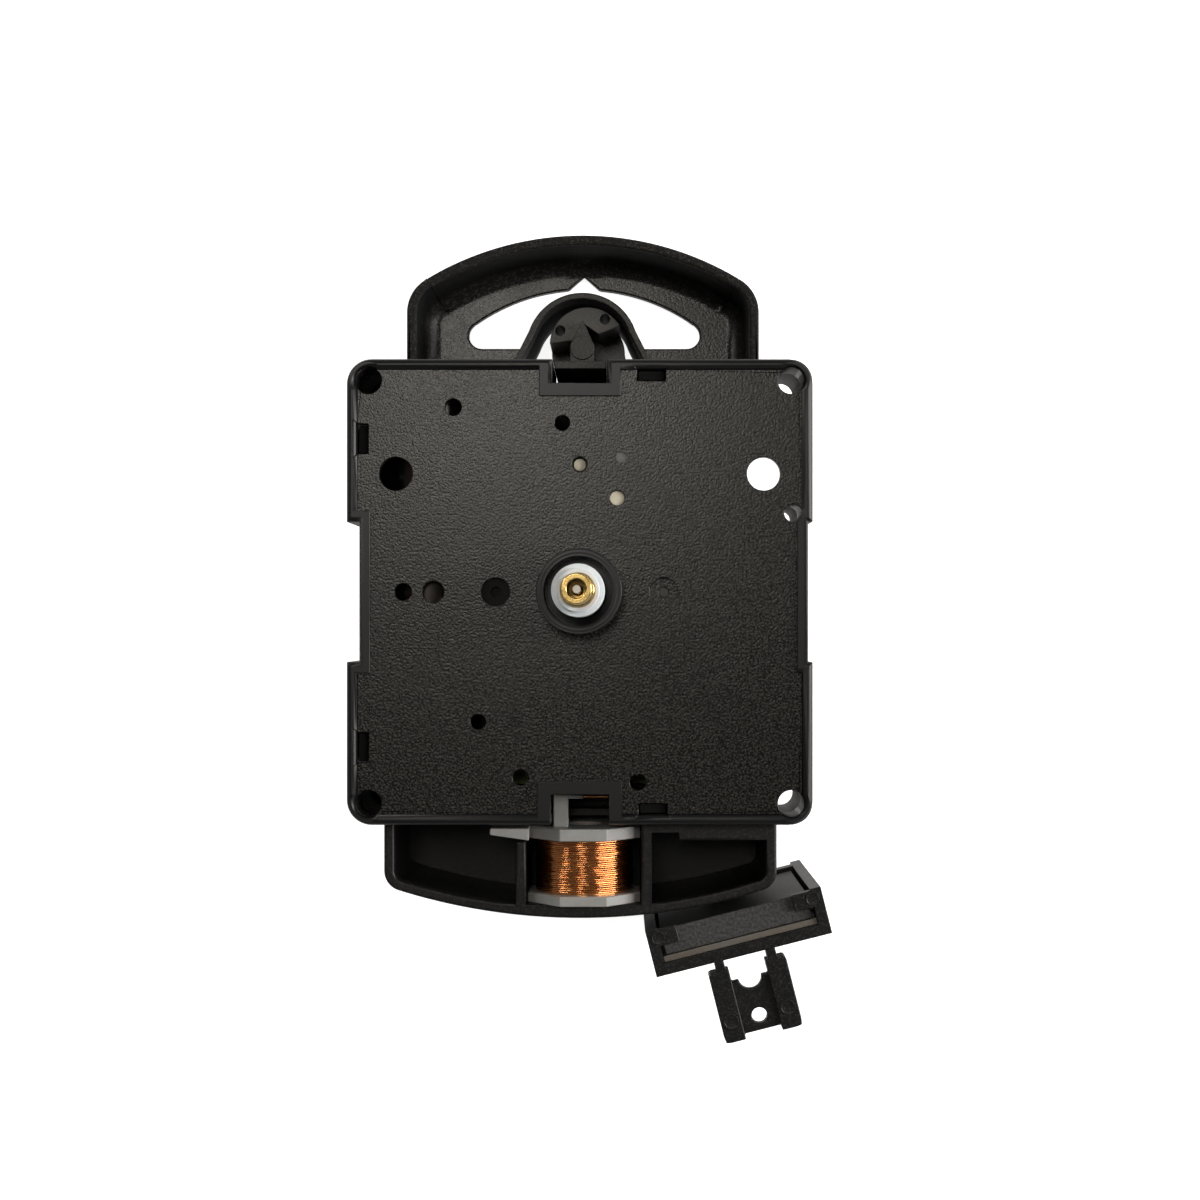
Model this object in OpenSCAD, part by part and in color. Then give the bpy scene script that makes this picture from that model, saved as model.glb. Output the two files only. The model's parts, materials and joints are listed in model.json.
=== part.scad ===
// Quartz pendulum clock movement, lying on its back with the hand shafts up.
// The origin is on the hand shafts' axis at the front rim of the housing.
// X points right and Y up as the dial is seen, and Z points out of the dial.

/* [Housing] */
// Width and height of the square housing
case_w = 56; // [55.5:0.5:60]
// Depth of the housing, from its front rim to its back
case_d = 15.5; // [15.5:0.1:16.5]
// Radius of the housing's four corners
case_r = 3; // [2:0.5:4]
// Thickness of the housing's side walls
case_wall = 1; // [0.8:0.1:1.2]
// Thickness of the front cover's plate
plate_t = 1.3; // [1:0.1:1.5]
// Depth of the grained field below the smooth rim
field_drop = 0.3; // [0.2:0.05:0.4]
// Width of the smooth rim
rim_w = 1.35; // [1:0.05:1.8]
// Depth of the front cover, down to its seam with the rear housing
cover_d = 6; // [5:0.5:7]
// Height of the grip recesses in the housing's left and right sides
grip_h = 16.8; // [14:0.2:18]
// Depth of the left grip recess
grip_left = 1.5; // [1:0.1:1.5]
// Depth of the right grip recess
grip_right = 0.55; // [0.3:0.05:0.8]
// Diameter of the four corner holes
corner_hole_d = 3.2; // [2.6:0.1:3.4]
// Distance of the corner holes' centres from the two edges
corner_hole_in = 2.6; // [2.5:0.1:3]
// Diameter of the pair of large side holes
side_hole_d = 4; // [3:0.1:4.4]
// Width of the notch in the top edge
top_notch_w = 6.6; // [6.4:0.1:8]
// Depth of the notch in the top edge
top_notch_in = 2.9; // [2.6:0.1:3.4]
// Width of the notch in the bottom edge
low_notch_w = 7; // [6.8:0.1:8]
// Depth of the notch in the bottom edge
low_notch_in = 3.7; // [3.5:0.1:3.9]
// Width of the smooth frame round each notch
notch_frame = 1.6; // [1:0.1:2]

/* [Hand shafts] */
// Outer diameter of the fixing bush
bush_d = 10.1; // [9.6:0.1:11]
// Height of the fixing bush above the rim
bush_h = 5; // [4:0.5:8]
// Outer diameter of the hour tube
hour_tube_d = 6.15; // [5.8:0.05:6.4]
// Height of the hour tube's shoulder above the rim
hour_shoulder_h = 10; // [9:0.5:12]
// Diameter of the hour hand's seat
hour_seat_d = 5; // [4.8:0.1:5.2]
// Length of the hour hand's seat
hour_seat_l = 1.35; // [1:0.05:2]
// Outer diameter of the brass minute tube
minute_tube_d = 3.45; // [3.2:0.05:3.6]
// Height of the minute tube's tip above the rim
minute_tip_h = 18.3; // [15:0.1:22]
// Bore of the minute tube's mouth
minute_mouth_d = 2.1; // [1.8:0.1:2.3]
// Diameter of the second shaft
second_shaft_d = 0.9; // [0.7:0.05:1]
// Depth of the second shaft's tip inside the minute tube
second_recess = 2.3; // [1:0.1:4]

/* [Gear train] */
// Distance from the hand shafts' axis to the third wheel's axis
third_dist = 10.1; // [10:0.05:10.6]
// Distance from the hand shafts' axis to the motion wheel's axis
motion_dist = 10.9; // [10.8:0.05:11.2]
// Sideways place of the intermediate wheel's axis
inter_x = 4.5; // [4.4:0.1:4.8]
// Upward place of the intermediate wheel's axis
inter_y = 11.3; // [11.2:0.1:11.5]
// Direction from the intermediate wheel to the rotor, in degrees
rotor_dir = 17; // [14:1:20]
// Thickness of every wheel
wheel_t = 0.8; // [0.6:0.05:0.9]
// Diameter of the wheels' arbors
arbor_d = 1.1; // [0.9:0.1:1.2]

/* [Battery] */
// Diameter of the dry cell
cell_d = 13.5; // [13:0.1:13.5]
// Length of the dry cell with its nub
cell_l = 50.5; // [49.5:0.1:50.5]
// Sideways place of the cell's axis
cell_x = -18.7; // [-18.8:0.05:-18.6]

/* [Back frame] */
// Depth of the whole back, from the front rim to the wall
wall_plane = 32; // [31.5:0.5:36]
// Thickness of the plate behind the housing
plate_back_t = 1.5; // [1.2:0.1:2]
// Half width of the hanger
hanger_half = 23.1; // [22:0.1:24]
// Height of the hanger's top above the hand shafts' axis
hanger_top = 47.2; // [47:0.2:50]
// Radius of the hanger's top arc
hanger_arc = 39.7; // [36:0.1:50]
// Radius of the hanger's shoulders
hanger_corner = 5; // [3:0.5:7]
// Thickness of the hanger's rim
hanger_rim = 1.3; // [1:0.1:1.6]
// Depth of the hanger's rim
hanger_d = 12; // [10:0.5:13]
// Thickness of the hanger's wall plate
hanger_plate = 1.5; // [1.2:0.1:2]
// Half width of the hanging slot
slot_half = 15.8; // [14:0.1:17]
// Height of the slot's lower edge
slot_low = 33.9; // [33.5:0.1:34.2]
// Height of the slot's upper edge in the middle
slot_high = 42; // [41.4:0.1:43]
// Radius of the slot's two ends
slot_end = 1.8; // [1:0.1:2]
// Height of the nail notch above the slot
nail_notch = 1.8; // [1:0.1:2]
// Outer radius of the dome over the pendulum's head
dome_r = 7.25; // [7.2:0.05:7.3]
// Thickness of the dome's wall
dome_wall = 0.85; // [0.7:0.05:0.9]
// Half width of the dome at the housing's top
dome_foot = 9.9; // [9.8:0.1:10]

/* [Coil housing] */
// Half width of the coil housing
coil_box_half = 24; // [23.5:0.1:25]
// Radius of the coil housing's lower arc about the pendulum's pivot
coil_box_arc = 74.8; // [74.5:0.1:75.2]
// Corner radius of the coil housing
coil_box_corner = 2.5; // [1.5:0.5:3.5]
// Wall of the coil housing
coil_box_wall = 1.3; // [1:0.1:1.5]
// Depth of the coil housing's front edge below the rim
coil_box_front = 4; // [3:0.5:5]
// Depth of the coil housing's back below the rim
coil_box_back = 22; // [20:0.5:22.5]

/* [Pendulum coil] */
// Width of the bobbin's eight-sided flanges
bobbin_w = 13.9; // [13.5:0.1:14.2]
// Thickness of the bobbin's upper flange
bobbin_top_t = 1.5; // [1.2:0.1:1.6]
// Thickness of the bobbin's lower flange
bobbin_low_t = 1.2; // [1:0.1:1.2]
// Length of the winding
winding_l = 6.7; // [6.7:0.05:6.8]
// Outer diameter of the winding
winding_d = 12.4; // [11:0.1:12.6]
// Diameter of the wire in the outer layer
wire_d = 0.3; // [0.25:0.01:0.3]
// Distance between two turns of the outer layer
wire_pitch = 0.72; // [0.715:0.005:0.72]
// Turns in the outer layer
wire_turns = 8; // [6:1:8]
// Sideways place of the coil
coil_x = 0.4; // [0.2:0.1:0.6]
// Depth of the coil's axis below the rim
coil_depth = 9; // [8.8:0.1:9.4]

/* [Pendulum] */
// Height of the pendulum's pivot above the hand shafts' axis
pivot_y = 35; // [34.8:0.1:35.2]
// Angle at which the pendulum hangs in the resting pose, in degrees
swing = 14.2; // [5:0.1:14.2]
// Radius of the pendulum's head
head_r = 4.9; // [4.8:0.05:4.9]
// Half width of the pendulum's arm
arm_half = 3; // [2.4:0.1:3]
// Thickness of the pendulum's arm
arm_t = 2; // [1.6:0.1:2]
// Distance of the tray's upper edge from the pivot
tray_r = 76; // [76:0.1:77]
// Height of the tray
tray_h = 5.9; // [5.8:0.1:7]
// Half width of the tray
tray_half = 11.1; // [11:0.1:12]
// Wall of the tray
tray_wall = 1.4; // [1:0.1:1.5]
// Depth of the tray's back below the rim
tray_back = 30; // [29:0.5:30.5]
// Thickness of the magnet
magnet_t = 3.2; // [2.8:0.1:3.3]
// Half width of the magnet
magnet_half = 9.3; // [9:0.1:9.4]
// Thickness of the steel yoke under the magnet
yoke_t = 0.8; // [0.6:0.05:0.9]
// Distance of the rod hook's lower end from the pivot
hook_end = 92; // [91:0.5:96]
// Width of each rail of the rod hook
rail_w = 2.6; // [2.2:0.1:2.8]
// Distance between the outer faces of the rod hook's rails
hook_w = 9.8; // [9.6:0.1:10.4]
// Diameter of the rod hook's hole
hook_hole_d = 1.9; // [1.6:0.1:2.2]

/* [Fits] */
// Radial clearance of a shaft in its bearing
run_fit = 0.05; // [0.03:0.01:0.06]
// Clearance between parts that are put together by hand
loose_fit = 0.15; // [0.1:0.05:0.2]

/* [Hidden] */
$fn = 64;

// Colours as the photograph shows them
black = [0.15, 0.15, 0.14];
milky = [0.6, 0.6, 0.58];
copper = [0.72, 0.42, 0.22];
brass = [0.86, 0.7, 0.35];
steel = [0.62, 0.62, 0.6];
white = [0.85, 0.86, 0.86];
cream = [0.88, 0.84, 0.72];

// A cut runs this far past the face it opens
past = 0.5;

// Levels inside the housing, front to back
half_w = case_w / 2;
plate_in = field_drop + plate_t;
floor_t = 1.3;
floor_in = case_d - floor_t;
layer_gap = 0.45;
hour_z = -(plate_in + layer_gap + wheel_t);
motion_z = hour_z - 0.4 - wheel_t;
minute_z = motion_z - 0.6 - wheel_t;
third_z = minute_z - 0.7 - wheel_t;
second_z = third_z - 0.7 - wheel_t;
pinion_over = 0.15;
bridge_t = 1;
bridge_z = second_z - 1.1 - bridge_t;
pivot_in = 0.7;

// Teeth of the train: half a turn of the rotor each second, and one turn of the second wheel a minute
rotor_teeth = 6;
inter_teeth = 60;
inter_pinion_teeth = 20;
second_teeth = 60;
second_pinion_teeth = 8;
third_teeth = 64;
third_pinion_teeth = 8;
minute_teeth = 60;
minute_pinion_teeth = 12;
motion_teeth = 36;
motion_pinion_teeth = 10;
hour_teeth = 40;

// Places of the arbors
third_at = [third_dist, 0];
motion_at = [0, -motion_dist];
inter_at = [inter_x, inter_y];
inter_dist = norm(inter_at);
rotor_dist = 8.5;
rotor_at = inter_at + rotor_dist * [cos(rotor_dir), sin(rotor_dir)];

// Tooth modules follow from the distances
function mesh_module(distance, teeth_a, teeth_b) = 2 * distance / (teeth_a + teeth_b);
rotor_m = mesh_module(rotor_dist, rotor_teeth, inter_teeth);
inter_m = mesh_module(inter_dist, inter_pinion_teeth, second_teeth);
second_m = mesh_module(third_dist, second_pinion_teeth, third_teeth);
third_m = mesh_module(third_dist, third_pinion_teeth, minute_teeth);
minute_m = mesh_module(motion_dist, minute_pinion_teeth, motion_teeth);
hour_m = mesh_module(motion_dist, motion_pinion_teeth, hour_teeth);

// Direction of a point seen from another, and the turn that puts a gap there
function heading(from, to) = atan2(to[1] - from[1], to[0] - from[0]);
function gap_turn(from, to, teeth) = heading(from, to) + 180 / teeth;

// The small round hole beside the right grip, and the large pair
grip_hole = [half_w - 2.4, 9.5, 2.1];
side_hole_at = [half_w - 5.9, 14.2];
side_well_r = side_hole_d / 2 + 1.7;
side_well_at = side_hole_at + [0.5, 0.5];
side_well_wall = 0.6;

// Corner posts, and the sunk rings round the two middle bearings
corner_post_r = corner_hole_d / 2 + 1;
corner_at = half_w - corner_hole_in;
recess_d = 3.4;
recess_depth = 0.6;
inter_hole_d = 1.8;

// Train bridge, with its pillars
bridge_left = -8.6;
bridge_right = side_hole_at[0] - side_well_r - side_well_wall - 0.2;
bridge_low = -14.5;
bridge_top = 18.9;
bridge_pillars = [
    [bridge_left + 1.5, bridge_low + 1.5], [bridge_right - 1.5, bridge_low + 1.5],
    [bridge_left + 1.5, bridge_top - 1.5], [bridge_right - 3, bridge_top - 1.5]
];
pillar_r = 1.2;

// Motor
rotor_r = 1.9;
rotor_pivot_r = 0.3;
rotor_air = 0.5;
stator_t = 0.8;
stator_z = minute_z - 0.6 - stator_t;
stator_low = rotor_at[1] - 3.2;
stator_top = 24.4;
stator_left = 2.6;
stator_right = rotor_at[0] + 4.6;
stator_leg = 2.4;
stator_step = rotor_at[1] - 0.4;
motor_coil_y = 22.1;
motor_coil_d = 5;
motor_core_d = 2;
motor_flange_t = 0.7;

// Battery bay
cell_z = -(plate_in + 0.25 + cell_d / 2);
bay_fit = 0.05;
bay_wall = 0.7;
bay_right = cell_x + cell_d / 2 + bay_fit;
nub_h = 1;
cell_low = -cell_l / 2;
cell_high = cell_l / 2 - nub_h;
strip_t = 0.4;
strip_low = -floor_in + 1;
strip_h = 3;
leaf_h = 7;

// Circuit board
board_t = 1;
board_z = -(floor_in - 1.2);
board_right = half_w - 2.5;
board_low = -(half_w - 4);
board_step = 11;
board_pillars = [[-9.4, -22.2], [7, -22.2], [23.5, -17], [14, -16.5]];
strip_x = bay_right + bay_wall;

// Hour tube, minute tube and bush. The minute hand's seat ends at a shoulder just above the hour tube
seat_step = 0.2;
seat_gap = 0.35;
minute_body_r = minute_tube_d / 2 + seat_step;
bush_step = 3;
bush_mouth_d = 8.2;
plate_bore_r = hour_tube_d / 2 + run_fit;
hour_bore_r = minute_body_r + run_fit;
minute_bore_r = second_shaft_d / 2 + run_fit;
hour_tip_h = hour_shoulder_h + hour_seat_l;
second_tip_h = minute_tip_h - second_recess;

// Setting knob
knob_d = 9;
knob_h = 3.4;
knob_gap = 0.6;
knob_z = -(case_d + plate_back_t + knob_gap + knob_h);

// Back frame
frame_z = -(case_d + plate_back_t);
frame_left = strip_x;
frame_right = 16.5;
frame_top = case_w / 2 - 0.8;
frame_low = -(half_w + 0.1);
band_w = 1.5;
band_half = 23;
rib_t = 1.2;
rib_d = 4;
hanger_base = 25.5;
hanger_foot = 4;
dome_y = 31.65;
dome_seat = 0.05;
knife_front = case_d + 0.5;
knife_back = 25.7;
tongue_front = 3;
tongue_half = top_notch_w / 2 - loose_fit;
tongue_t = 0.9;

// Feet of the coil housing
foot_w = 1.8;
foot_h = 3.4;

// Pendulum coil, seated between the coil housing's dividers
winding_top = -(half_w + 2.2);
coil_z = -coil_depth;
winding_low = winding_top - winding_l;
drum_r = 3.2;
divider_gap = 0.1;
wire_r = winding_d / 2 - wire_d / 2;
// The wire's straight runs sag inwards between two rings, and the core clears them
rings_per_turn = 24;
core_r = wire_r * cos(180 / rings_per_turn) - wire_d / 2 - 0.02;

flange_top = winding_top + bobbin_top_t;
post_w = 1.85;
post_d = 3;
post_left = coil_x - 3.75;
post_front = -5;
post_top = -half_w + low_notch_in - 0.5;

// Pendulum
head_drop = 2.6;
head_front = 18;
arm_back = 28;
arm_front = arm_back - arm_t;
tip_r = 0.25;
magnet_front = 5.6;
magnet_back = arm_front - 0.4;
tray_front = 4.5;
yoke_at = tray_r + tray_h - tray_wall - yoke_t;
magnet_at = yoke_at - magnet_t;
hook_front = 4.7;
hook_d = 3;
leg_w = 1.2;

// Holes through the front cover's plate that open into the dark housing: x, y, diameter
cover_holes = [
    [-15.2, 22.2, 2], [-2.1, 20.3, 1.8], [0, 15.35, 1.8], [-21.2, 0, 2.05], [-17.6, 0, 2.6],
    [-12.2, -15.6, 1.85], [-7.1, -22.3, 1.95], [7, -22.85, 2]
];
// Shallow round marks in the field: x, y, diameter
cover_marks = [[5, 16.2, 1.3], [-7.6, -15.6, 1.4]];
mark_depth = 0.25;
// The bottom notch goes this far below the seam
low_notch_d = 5;
// Latch slots through the plate: x, y, width, height
slot_in = 1.95;
latch_slots = [
    [-(half_w - slot_in), 18.4, 1.4, 3.6], [-(half_w - slot_in), -18.7, 1.4, 3.7],
    [8.6, half_w - slot_in, 3.45, 1.4], [8.8, -(half_w - slot_in), 3.5, 1.4]
];
// Flat shapes

module round_square(width, height, radius) {
    square([width, height - 2 * radius], center = true);
    square([width - 2 * radius, height], center = true);
    for (x = [-1, 1], y = [-1, 1])
        translate([x * (width / 2 - radius), y * (height / 2 - radius)])
            circle(r = radius);
}

// Outline of the housing, drawn in by a wall
module case_outline(inset) {
    difference() {
        round_square(case_w - 2 * inset, case_w - 2 * inset, max(case_r - inset, 0.4));
        translate([-half_w - 1, -grip_h / 2 - inset])
            square([grip_left + 1 + inset, grip_h + 2 * inset]);
        translate([half_w - grip_right - inset, -grip_h / 2 - inset])
            square([grip_right + 1 + inset, grip_h + 2 * inset]);
    }
}

// An arch: straight sides, round shoulders and a top arc about a centre below
module arch(half, arc_r, centre_y, shoulder, base) {
    reach = arc_r - shoulder;
    side = half - shoulder;
    shoulder_y = centre_y + sqrt(reach * reach - side * side);
    // The arc stops just short of where it touches the shoulders
    wedge = 0.985 * 2 * side;
    intersection() {
        translate([0, centre_y])
            circle(r = arc_r, $fn = 128);
        polygon([
            [0, centre_y], [wedge, 2 * shoulder_y - centre_y], [-wedge, 2 * shoulder_y - centre_y]
        ]);
        translate([-half, base])
            square([2 * half, centre_y + arc_r - base + 1]);
    }
    for (x = [-side, side])
        translate([x, shoulder_y])
            circle(r = shoulder);
    translate([-half, base])
        square([2 * half, shoulder_y - base]);
    middle = max(base, centre_y);
    width = side * (middle - centre_y) / (shoulder_y - centre_y);
    polygon([[-side, shoulder_y], [-width, middle], [width, middle], [side, shoulder_y]]);
}

// A gear with slim straight-sided teeth, its first tooth on the X axis
module gear(teeth, tooth_m, thickness, bore_r = 0) {
    pitch_r = teeth * tooth_m / 2;
    tip = pitch_r + 0.75 * tooth_m;
    root = pitch_r - 0.95 * tooth_m;
    step = 360 / teeth;
    outline = [
        for (i = [0 : teeth - 1], corner = [[root, -0.24], [tip, -0.09], [tip, 0.09], [root, 0.24]])
            let (turn = step * (i + corner[1]))
            corner[0] * [cos(turn), sin(turn)]
    ];
    linear_extrude(thickness)
        difference() {
            polygon(outline);
            if (bore_r > 0)
                circle(r = bore_r);
        }
}

module tube(outer_r, inner_r, length) {
    difference() {
        cylinder(r = outer_r, h = length);
        translate([0, 0, -past])
            cylinder(r = inner_r, h = length + 2 * past);
    }
}

// Places its children on the pendulum: X across it and Y down along it
module on_pendulum() {
    translate([0, pivot_y, 0])
        rotate([0, 0, swing])
            mirror([0, 1, 0])
                children();
}

// Housing

module through_holes() {
    for (y = [-corner_at, corner_at])
        translate([corner_at, y, -case_d - past])
            cylinder(d = corner_hole_d, h = case_d + 2 * past);
    translate([grip_hole[0], grip_hole[1], -case_d - past])
        cylinder(d = grip_hole[2], h = case_d + 2 * past);
}

module top_notch() {
    translate([-top_notch_w / 2, half_w - top_notch_in, -case_d - past])
        cube([top_notch_w, top_notch_in + past, case_d + 2 * past]);
}

module low_notch() {
    translate([-low_notch_w / 2, -half_w - past, -cover_d - low_notch_d])
        cube([low_notch_w, low_notch_in + past, cover_d + low_notch_d + past]);
}

module notch_frames() {
    translate([-top_notch_w / 2 - notch_frame, half_w - top_notch_in - notch_frame])
        square([top_notch_w + 2 * notch_frame, top_notch_in + notch_frame]);
    translate([-low_notch_w / 2 - notch_frame, -half_w])
        square([low_notch_w + 2 * notch_frame, low_notch_in + notch_frame]);
}

module front_cover() {
    color(black)
        difference() {
            union() {
                // Side walls
                translate([0, 0, -cover_d])
                    linear_extrude(cover_d - plate_in)
                        difference() {
                            case_outline(0);
                            case_outline(case_wall);
                        }
                // Plate with the sunk field
                translate([0, 0, -plate_in])
                    linear_extrude(plate_t)
                        case_outline(0);
                // Rim and the smooth frames round the notches
                translate([0, 0, -field_drop])
                    linear_extrude(field_drop)
                        intersection() {
                            case_outline(0);
                            union() {
                                difference() {
                                    case_outline(0);
                                    case_outline(rim_w);
                                }
                                notch_frames();
                            }
                        }
                // Posts round the through holes
                for (y = [-corner_at, corner_at])
                    translate([corner_at, y, -cover_d])
                        cylinder(r = corner_post_r, h = cover_d - plate_in / 2);
                translate([grip_hole[0], grip_hole[1], -cover_d])
                    cylinder(r = grip_hole[2] / 2 + 0.6, h = cover_d - plate_in / 2);
                // Fixing bush
                translate([0, 0, -plate_in])
                    cylinder(d = bush_d, h = plate_in + bush_h);
            }
            through_holes();
            top_notch();
            low_notch();
            // Bore of the bush, wide at the mouth
            translate([0, 0, -plate_in - past])
                cylinder(r = plate_bore_r, h = plate_in + bush_h + 2 * past);
            translate([0, 0, bush_h - bush_step])
                cylinder(d = bush_mouth_d, h = bush_step + past);
            // Left corner holes and the large pair
            for (y = [-corner_at, corner_at])
                translate([-corner_at, y, -cover_d + 1])
                    cylinder(d = corner_hole_d, h = cover_d);
            for (x = [-1, 1])
                translate([x * side_hole_at[0], side_hole_at[1], -plate_in - past])
                    cylinder(d = side_hole_d, h = plate_in + 2 * past);
            // Small holes
            for (hole = cover_holes)
                translate([hole[0], hole[1], -plate_in - past])
                    cylinder(d = hole[2], h = plate_in + 2 * past);
            for (mark = cover_marks)
                translate([mark[0], mark[1], -field_drop - mark_depth])
                    cylinder(d = mark[2], h = 1);
            // Bearings of the arbors
            for (at = [third_at, inter_at, motion_at])
                translate([at[0], at[1], -plate_in - past])
                    cylinder(r = arbor_d / 2 + run_fit, h = pivot_in + past);
            translate([inter_x, inter_y, -plate_in - past])
                cylinder(d = inter_hole_d, h = plate_in + 2 * past);
            translate([rotor_at[0], rotor_at[1], -plate_in - past])
                cylinder(r = rotor_pivot_r + run_fit, h = pivot_in + past);
            // Sunk rings round the two middle bearings
            for (x = [-1, 1])
                translate([x * third_dist, 0, -field_drop]) {
                    translate([0, 0, -recess_depth])
                        cylinder(d = recess_d, h = 1);
                    translate([0, 0, -plate_t + (x > 0 ? -past : 0.2)])
                        cylinder(r = arbor_d / 2 + run_fit, h = plate_t + past);
                }
            // Latch slots
            for (latch = latch_slots)
                translate([latch[0] - latch[2] / 2, latch[1] - latch[3] / 2, -plate_in - past])
                    cube([latch[2], latch[3], plate_in + 2 * past]);
        }
}

module rear_housing() {
    color(black)
        difference() {
            union() {
                translate([0, 0, -case_d])
                    linear_extrude(case_d - cover_d)
                        difference() {
                            case_outline(0);
                            case_outline(case_wall);
                        }
                translate([0, 0, -case_d])
                    linear_extrude(floor_t)
                        case_outline(0);
                // Wall between the battery bay and the train
                translate([bay_right, -(half_w - 2), -case_d])
                    cube([bay_wall, case_w - 5, case_d - plate_in - loose_fit]);
                for (y = [-corner_at, corner_at])
                    translate([corner_at, y, -case_d])
                        cylinder(r = corner_post_r, h = case_d - cover_d);
                translate([grip_hole[0], grip_hole[1], -case_d])
                    cylinder(r = grip_hole[2] / 2 + 0.6, h = case_d - cover_d);
                // Open well behind the right side hole
                translate([side_well_at[0], side_well_at[1], -case_d])
                    cylinder(r = side_well_r + side_well_wall, h = case_d - plate_in - loose_fit);
                // Pillars under the train bridge and the circuit board
                for (at = bridge_pillars)
                    translate([at[0], at[1], -case_d])
                        cylinder(r = pillar_r, h = case_d + bridge_z);
                for (at = board_pillars)
                    translate([at[0], at[1], -case_d])
                        cylinder(r = 1, h = case_d + board_z);
                latches();
            }
            through_holes();
            top_notch();
            low_notch();
            translate([side_well_at[0], side_well_at[1], -case_d - past])
                cylinder(r = side_well_r, h = case_d);
            // Battery opening in the back
            translate([cell_x - cell_d / 2 - bay_fit, -cell_l / 2 - 0.9, -case_d - past])
                cube([cell_d + 2 * bay_fit, cell_l + 1.8, floor_t + past]);
            // Bearing of the setting arbor
            translate([motion_at[0], motion_at[1], -case_d - past])
                cylinder(r = arbor_d / 2 + run_fit, h = floor_t + 2 * past);
        }
}

// Snap tongues that stand in the cover's latch slots
module latches() {
    latch_t = 1.1;
    latch_top = -0.9;
    root = 2;
    outer = half_w - slot_in + 0.7 - loose_fit;
    for (i = [0 : len(latch_slots) - 1]) {
        latch = latch_slots[i];
        upright = i < 2;
        turn = upright ? 180 : 90 * sign(latch[1]);
        along = upright ? -latch[1] : -sign(latch[1]) * latch[0];
        length = (upright ? latch[3] : latch[2]) - 2 * loose_fit;
        rotate([0, 0, turn]) {
            translate([outer - latch_t, along - length / 2, -cover_d - root])
                cube([latch_t, length, cover_d + root + latch_top]);
            translate([outer - latch_t, along - length / 2, -cover_d - root])
                cube([half_w - case_wall / 2 - outer + latch_t, length, root]);
        }
    }
}

// Train bridge, with the two posts that carry the stator

module train_bridge() {
    post_r = 1.1;
    stator_posts = [
        [stator_left + 1.2, bridge_top - post_r],
        [min(stator_right - 1.2, bridge_right - post_r), bridge_top - post_r]
    ];
    color(cream)
        difference() {
            union() {
                translate([bridge_left, bridge_low, bridge_z])
                    cube([bridge_right - bridge_left, bridge_top - bridge_low, bridge_t]);
                for (at = stator_posts)
                    translate([at[0], at[1], bridge_z])
                        cylinder(r = post_r, h = stator_z - bridge_z);
            }
            for (at = [third_at, inter_at, motion_at])
                translate([at[0], at[1], bridge_z - past])
                    cylinder(r = arbor_d / 2 + run_fit, h = bridge_t + 2 * past);
            translate([0, 0, bridge_z - past])
                cylinder(r = second_shaft_d / 2 + run_fit, h = bridge_t + 2 * past);
            translate([rotor_at[0], rotor_at[1], bridge_z - past])
                cylinder(r = rotor_pivot_r + run_fit, h = bridge_t + 2 * past);
        }
}

// Back frame

module frame_plate() {
    color(black)
        difference() {
            union() {
                translate([frame_left, frame_low, frame_z])
                    cube([frame_right - frame_left, frame_top - frame_low, plate_back_t]);
                for (y = [frame_low, frame_top - band_w])
                    translate([-band_half, y, frame_z])
                        cube([2 * band_half, band_w, plate_back_t]);
                for (x = [frame_left, frame_right - rib_t])
                    translate([x, frame_low + band_w, frame_z - rib_d])
                        cube([rib_t, frame_top - frame_low - 2 * band_w, rib_d]);
            }
            translate([motion_at[0], motion_at[1], frame_z - past])
                cylinder(r = arbor_d / 2 + 0.6, h = plate_back_t + 2 * past);
        }
}

module slot_shape() {
    side = slot_half - slot_end;
    end_y = slot_low + slot_end;
    // The top arc touches the two end circles
    rise = slot_high - slot_end - end_y;
    arc_r = (side * side + rise * rise) / (2 * rise) + slot_end;
    centre_y = slot_high - arc_r;
    arch(slot_half, arc_r, centre_y, slot_end, end_y - slot_end / 8);
    for (x = [-side, side])
        translate([x, end_y])
            circle(r = slot_end);
    translate([-side, slot_low])
        square([2 * side, slot_end]);
    notch_half = 2.7;
    polygon([
        [-notch_half, slot_high - 0.6], [0, slot_high + nail_notch], [notch_half, slot_high - 0.6]
    ]);
}

// Outline of the dome: a round top with two legs that spread downwards
module dome_outline(inset) {
    drop = dome_y - half_w;
    lean = acos(dome_r / norm([dome_foot, drop])) - atan2(drop, dome_foot);
    r = dome_r - inset;
    foot = dome_foot - inset / cos(lean);
    below = 1;
    spread = below * tan(lean);
    // The legs end just inside the round top
    meet = 0.99 * r;
    translate([0, dome_y])
        circle(r = r);
    polygon([
        [-meet * cos(lean), dome_y + meet * sin(lean)], [-foot - spread, half_w - below],
        [foot + spread, half_w - below], [meet * cos(lean), dome_y + meet * sin(lean)]
    ]);
}

module hanger_outline(inset, base) {
    arch(
        hanger_half - inset, hanger_arc - inset, hanger_top - hanger_arc,
        hanger_corner - inset, base
    );
}

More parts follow.
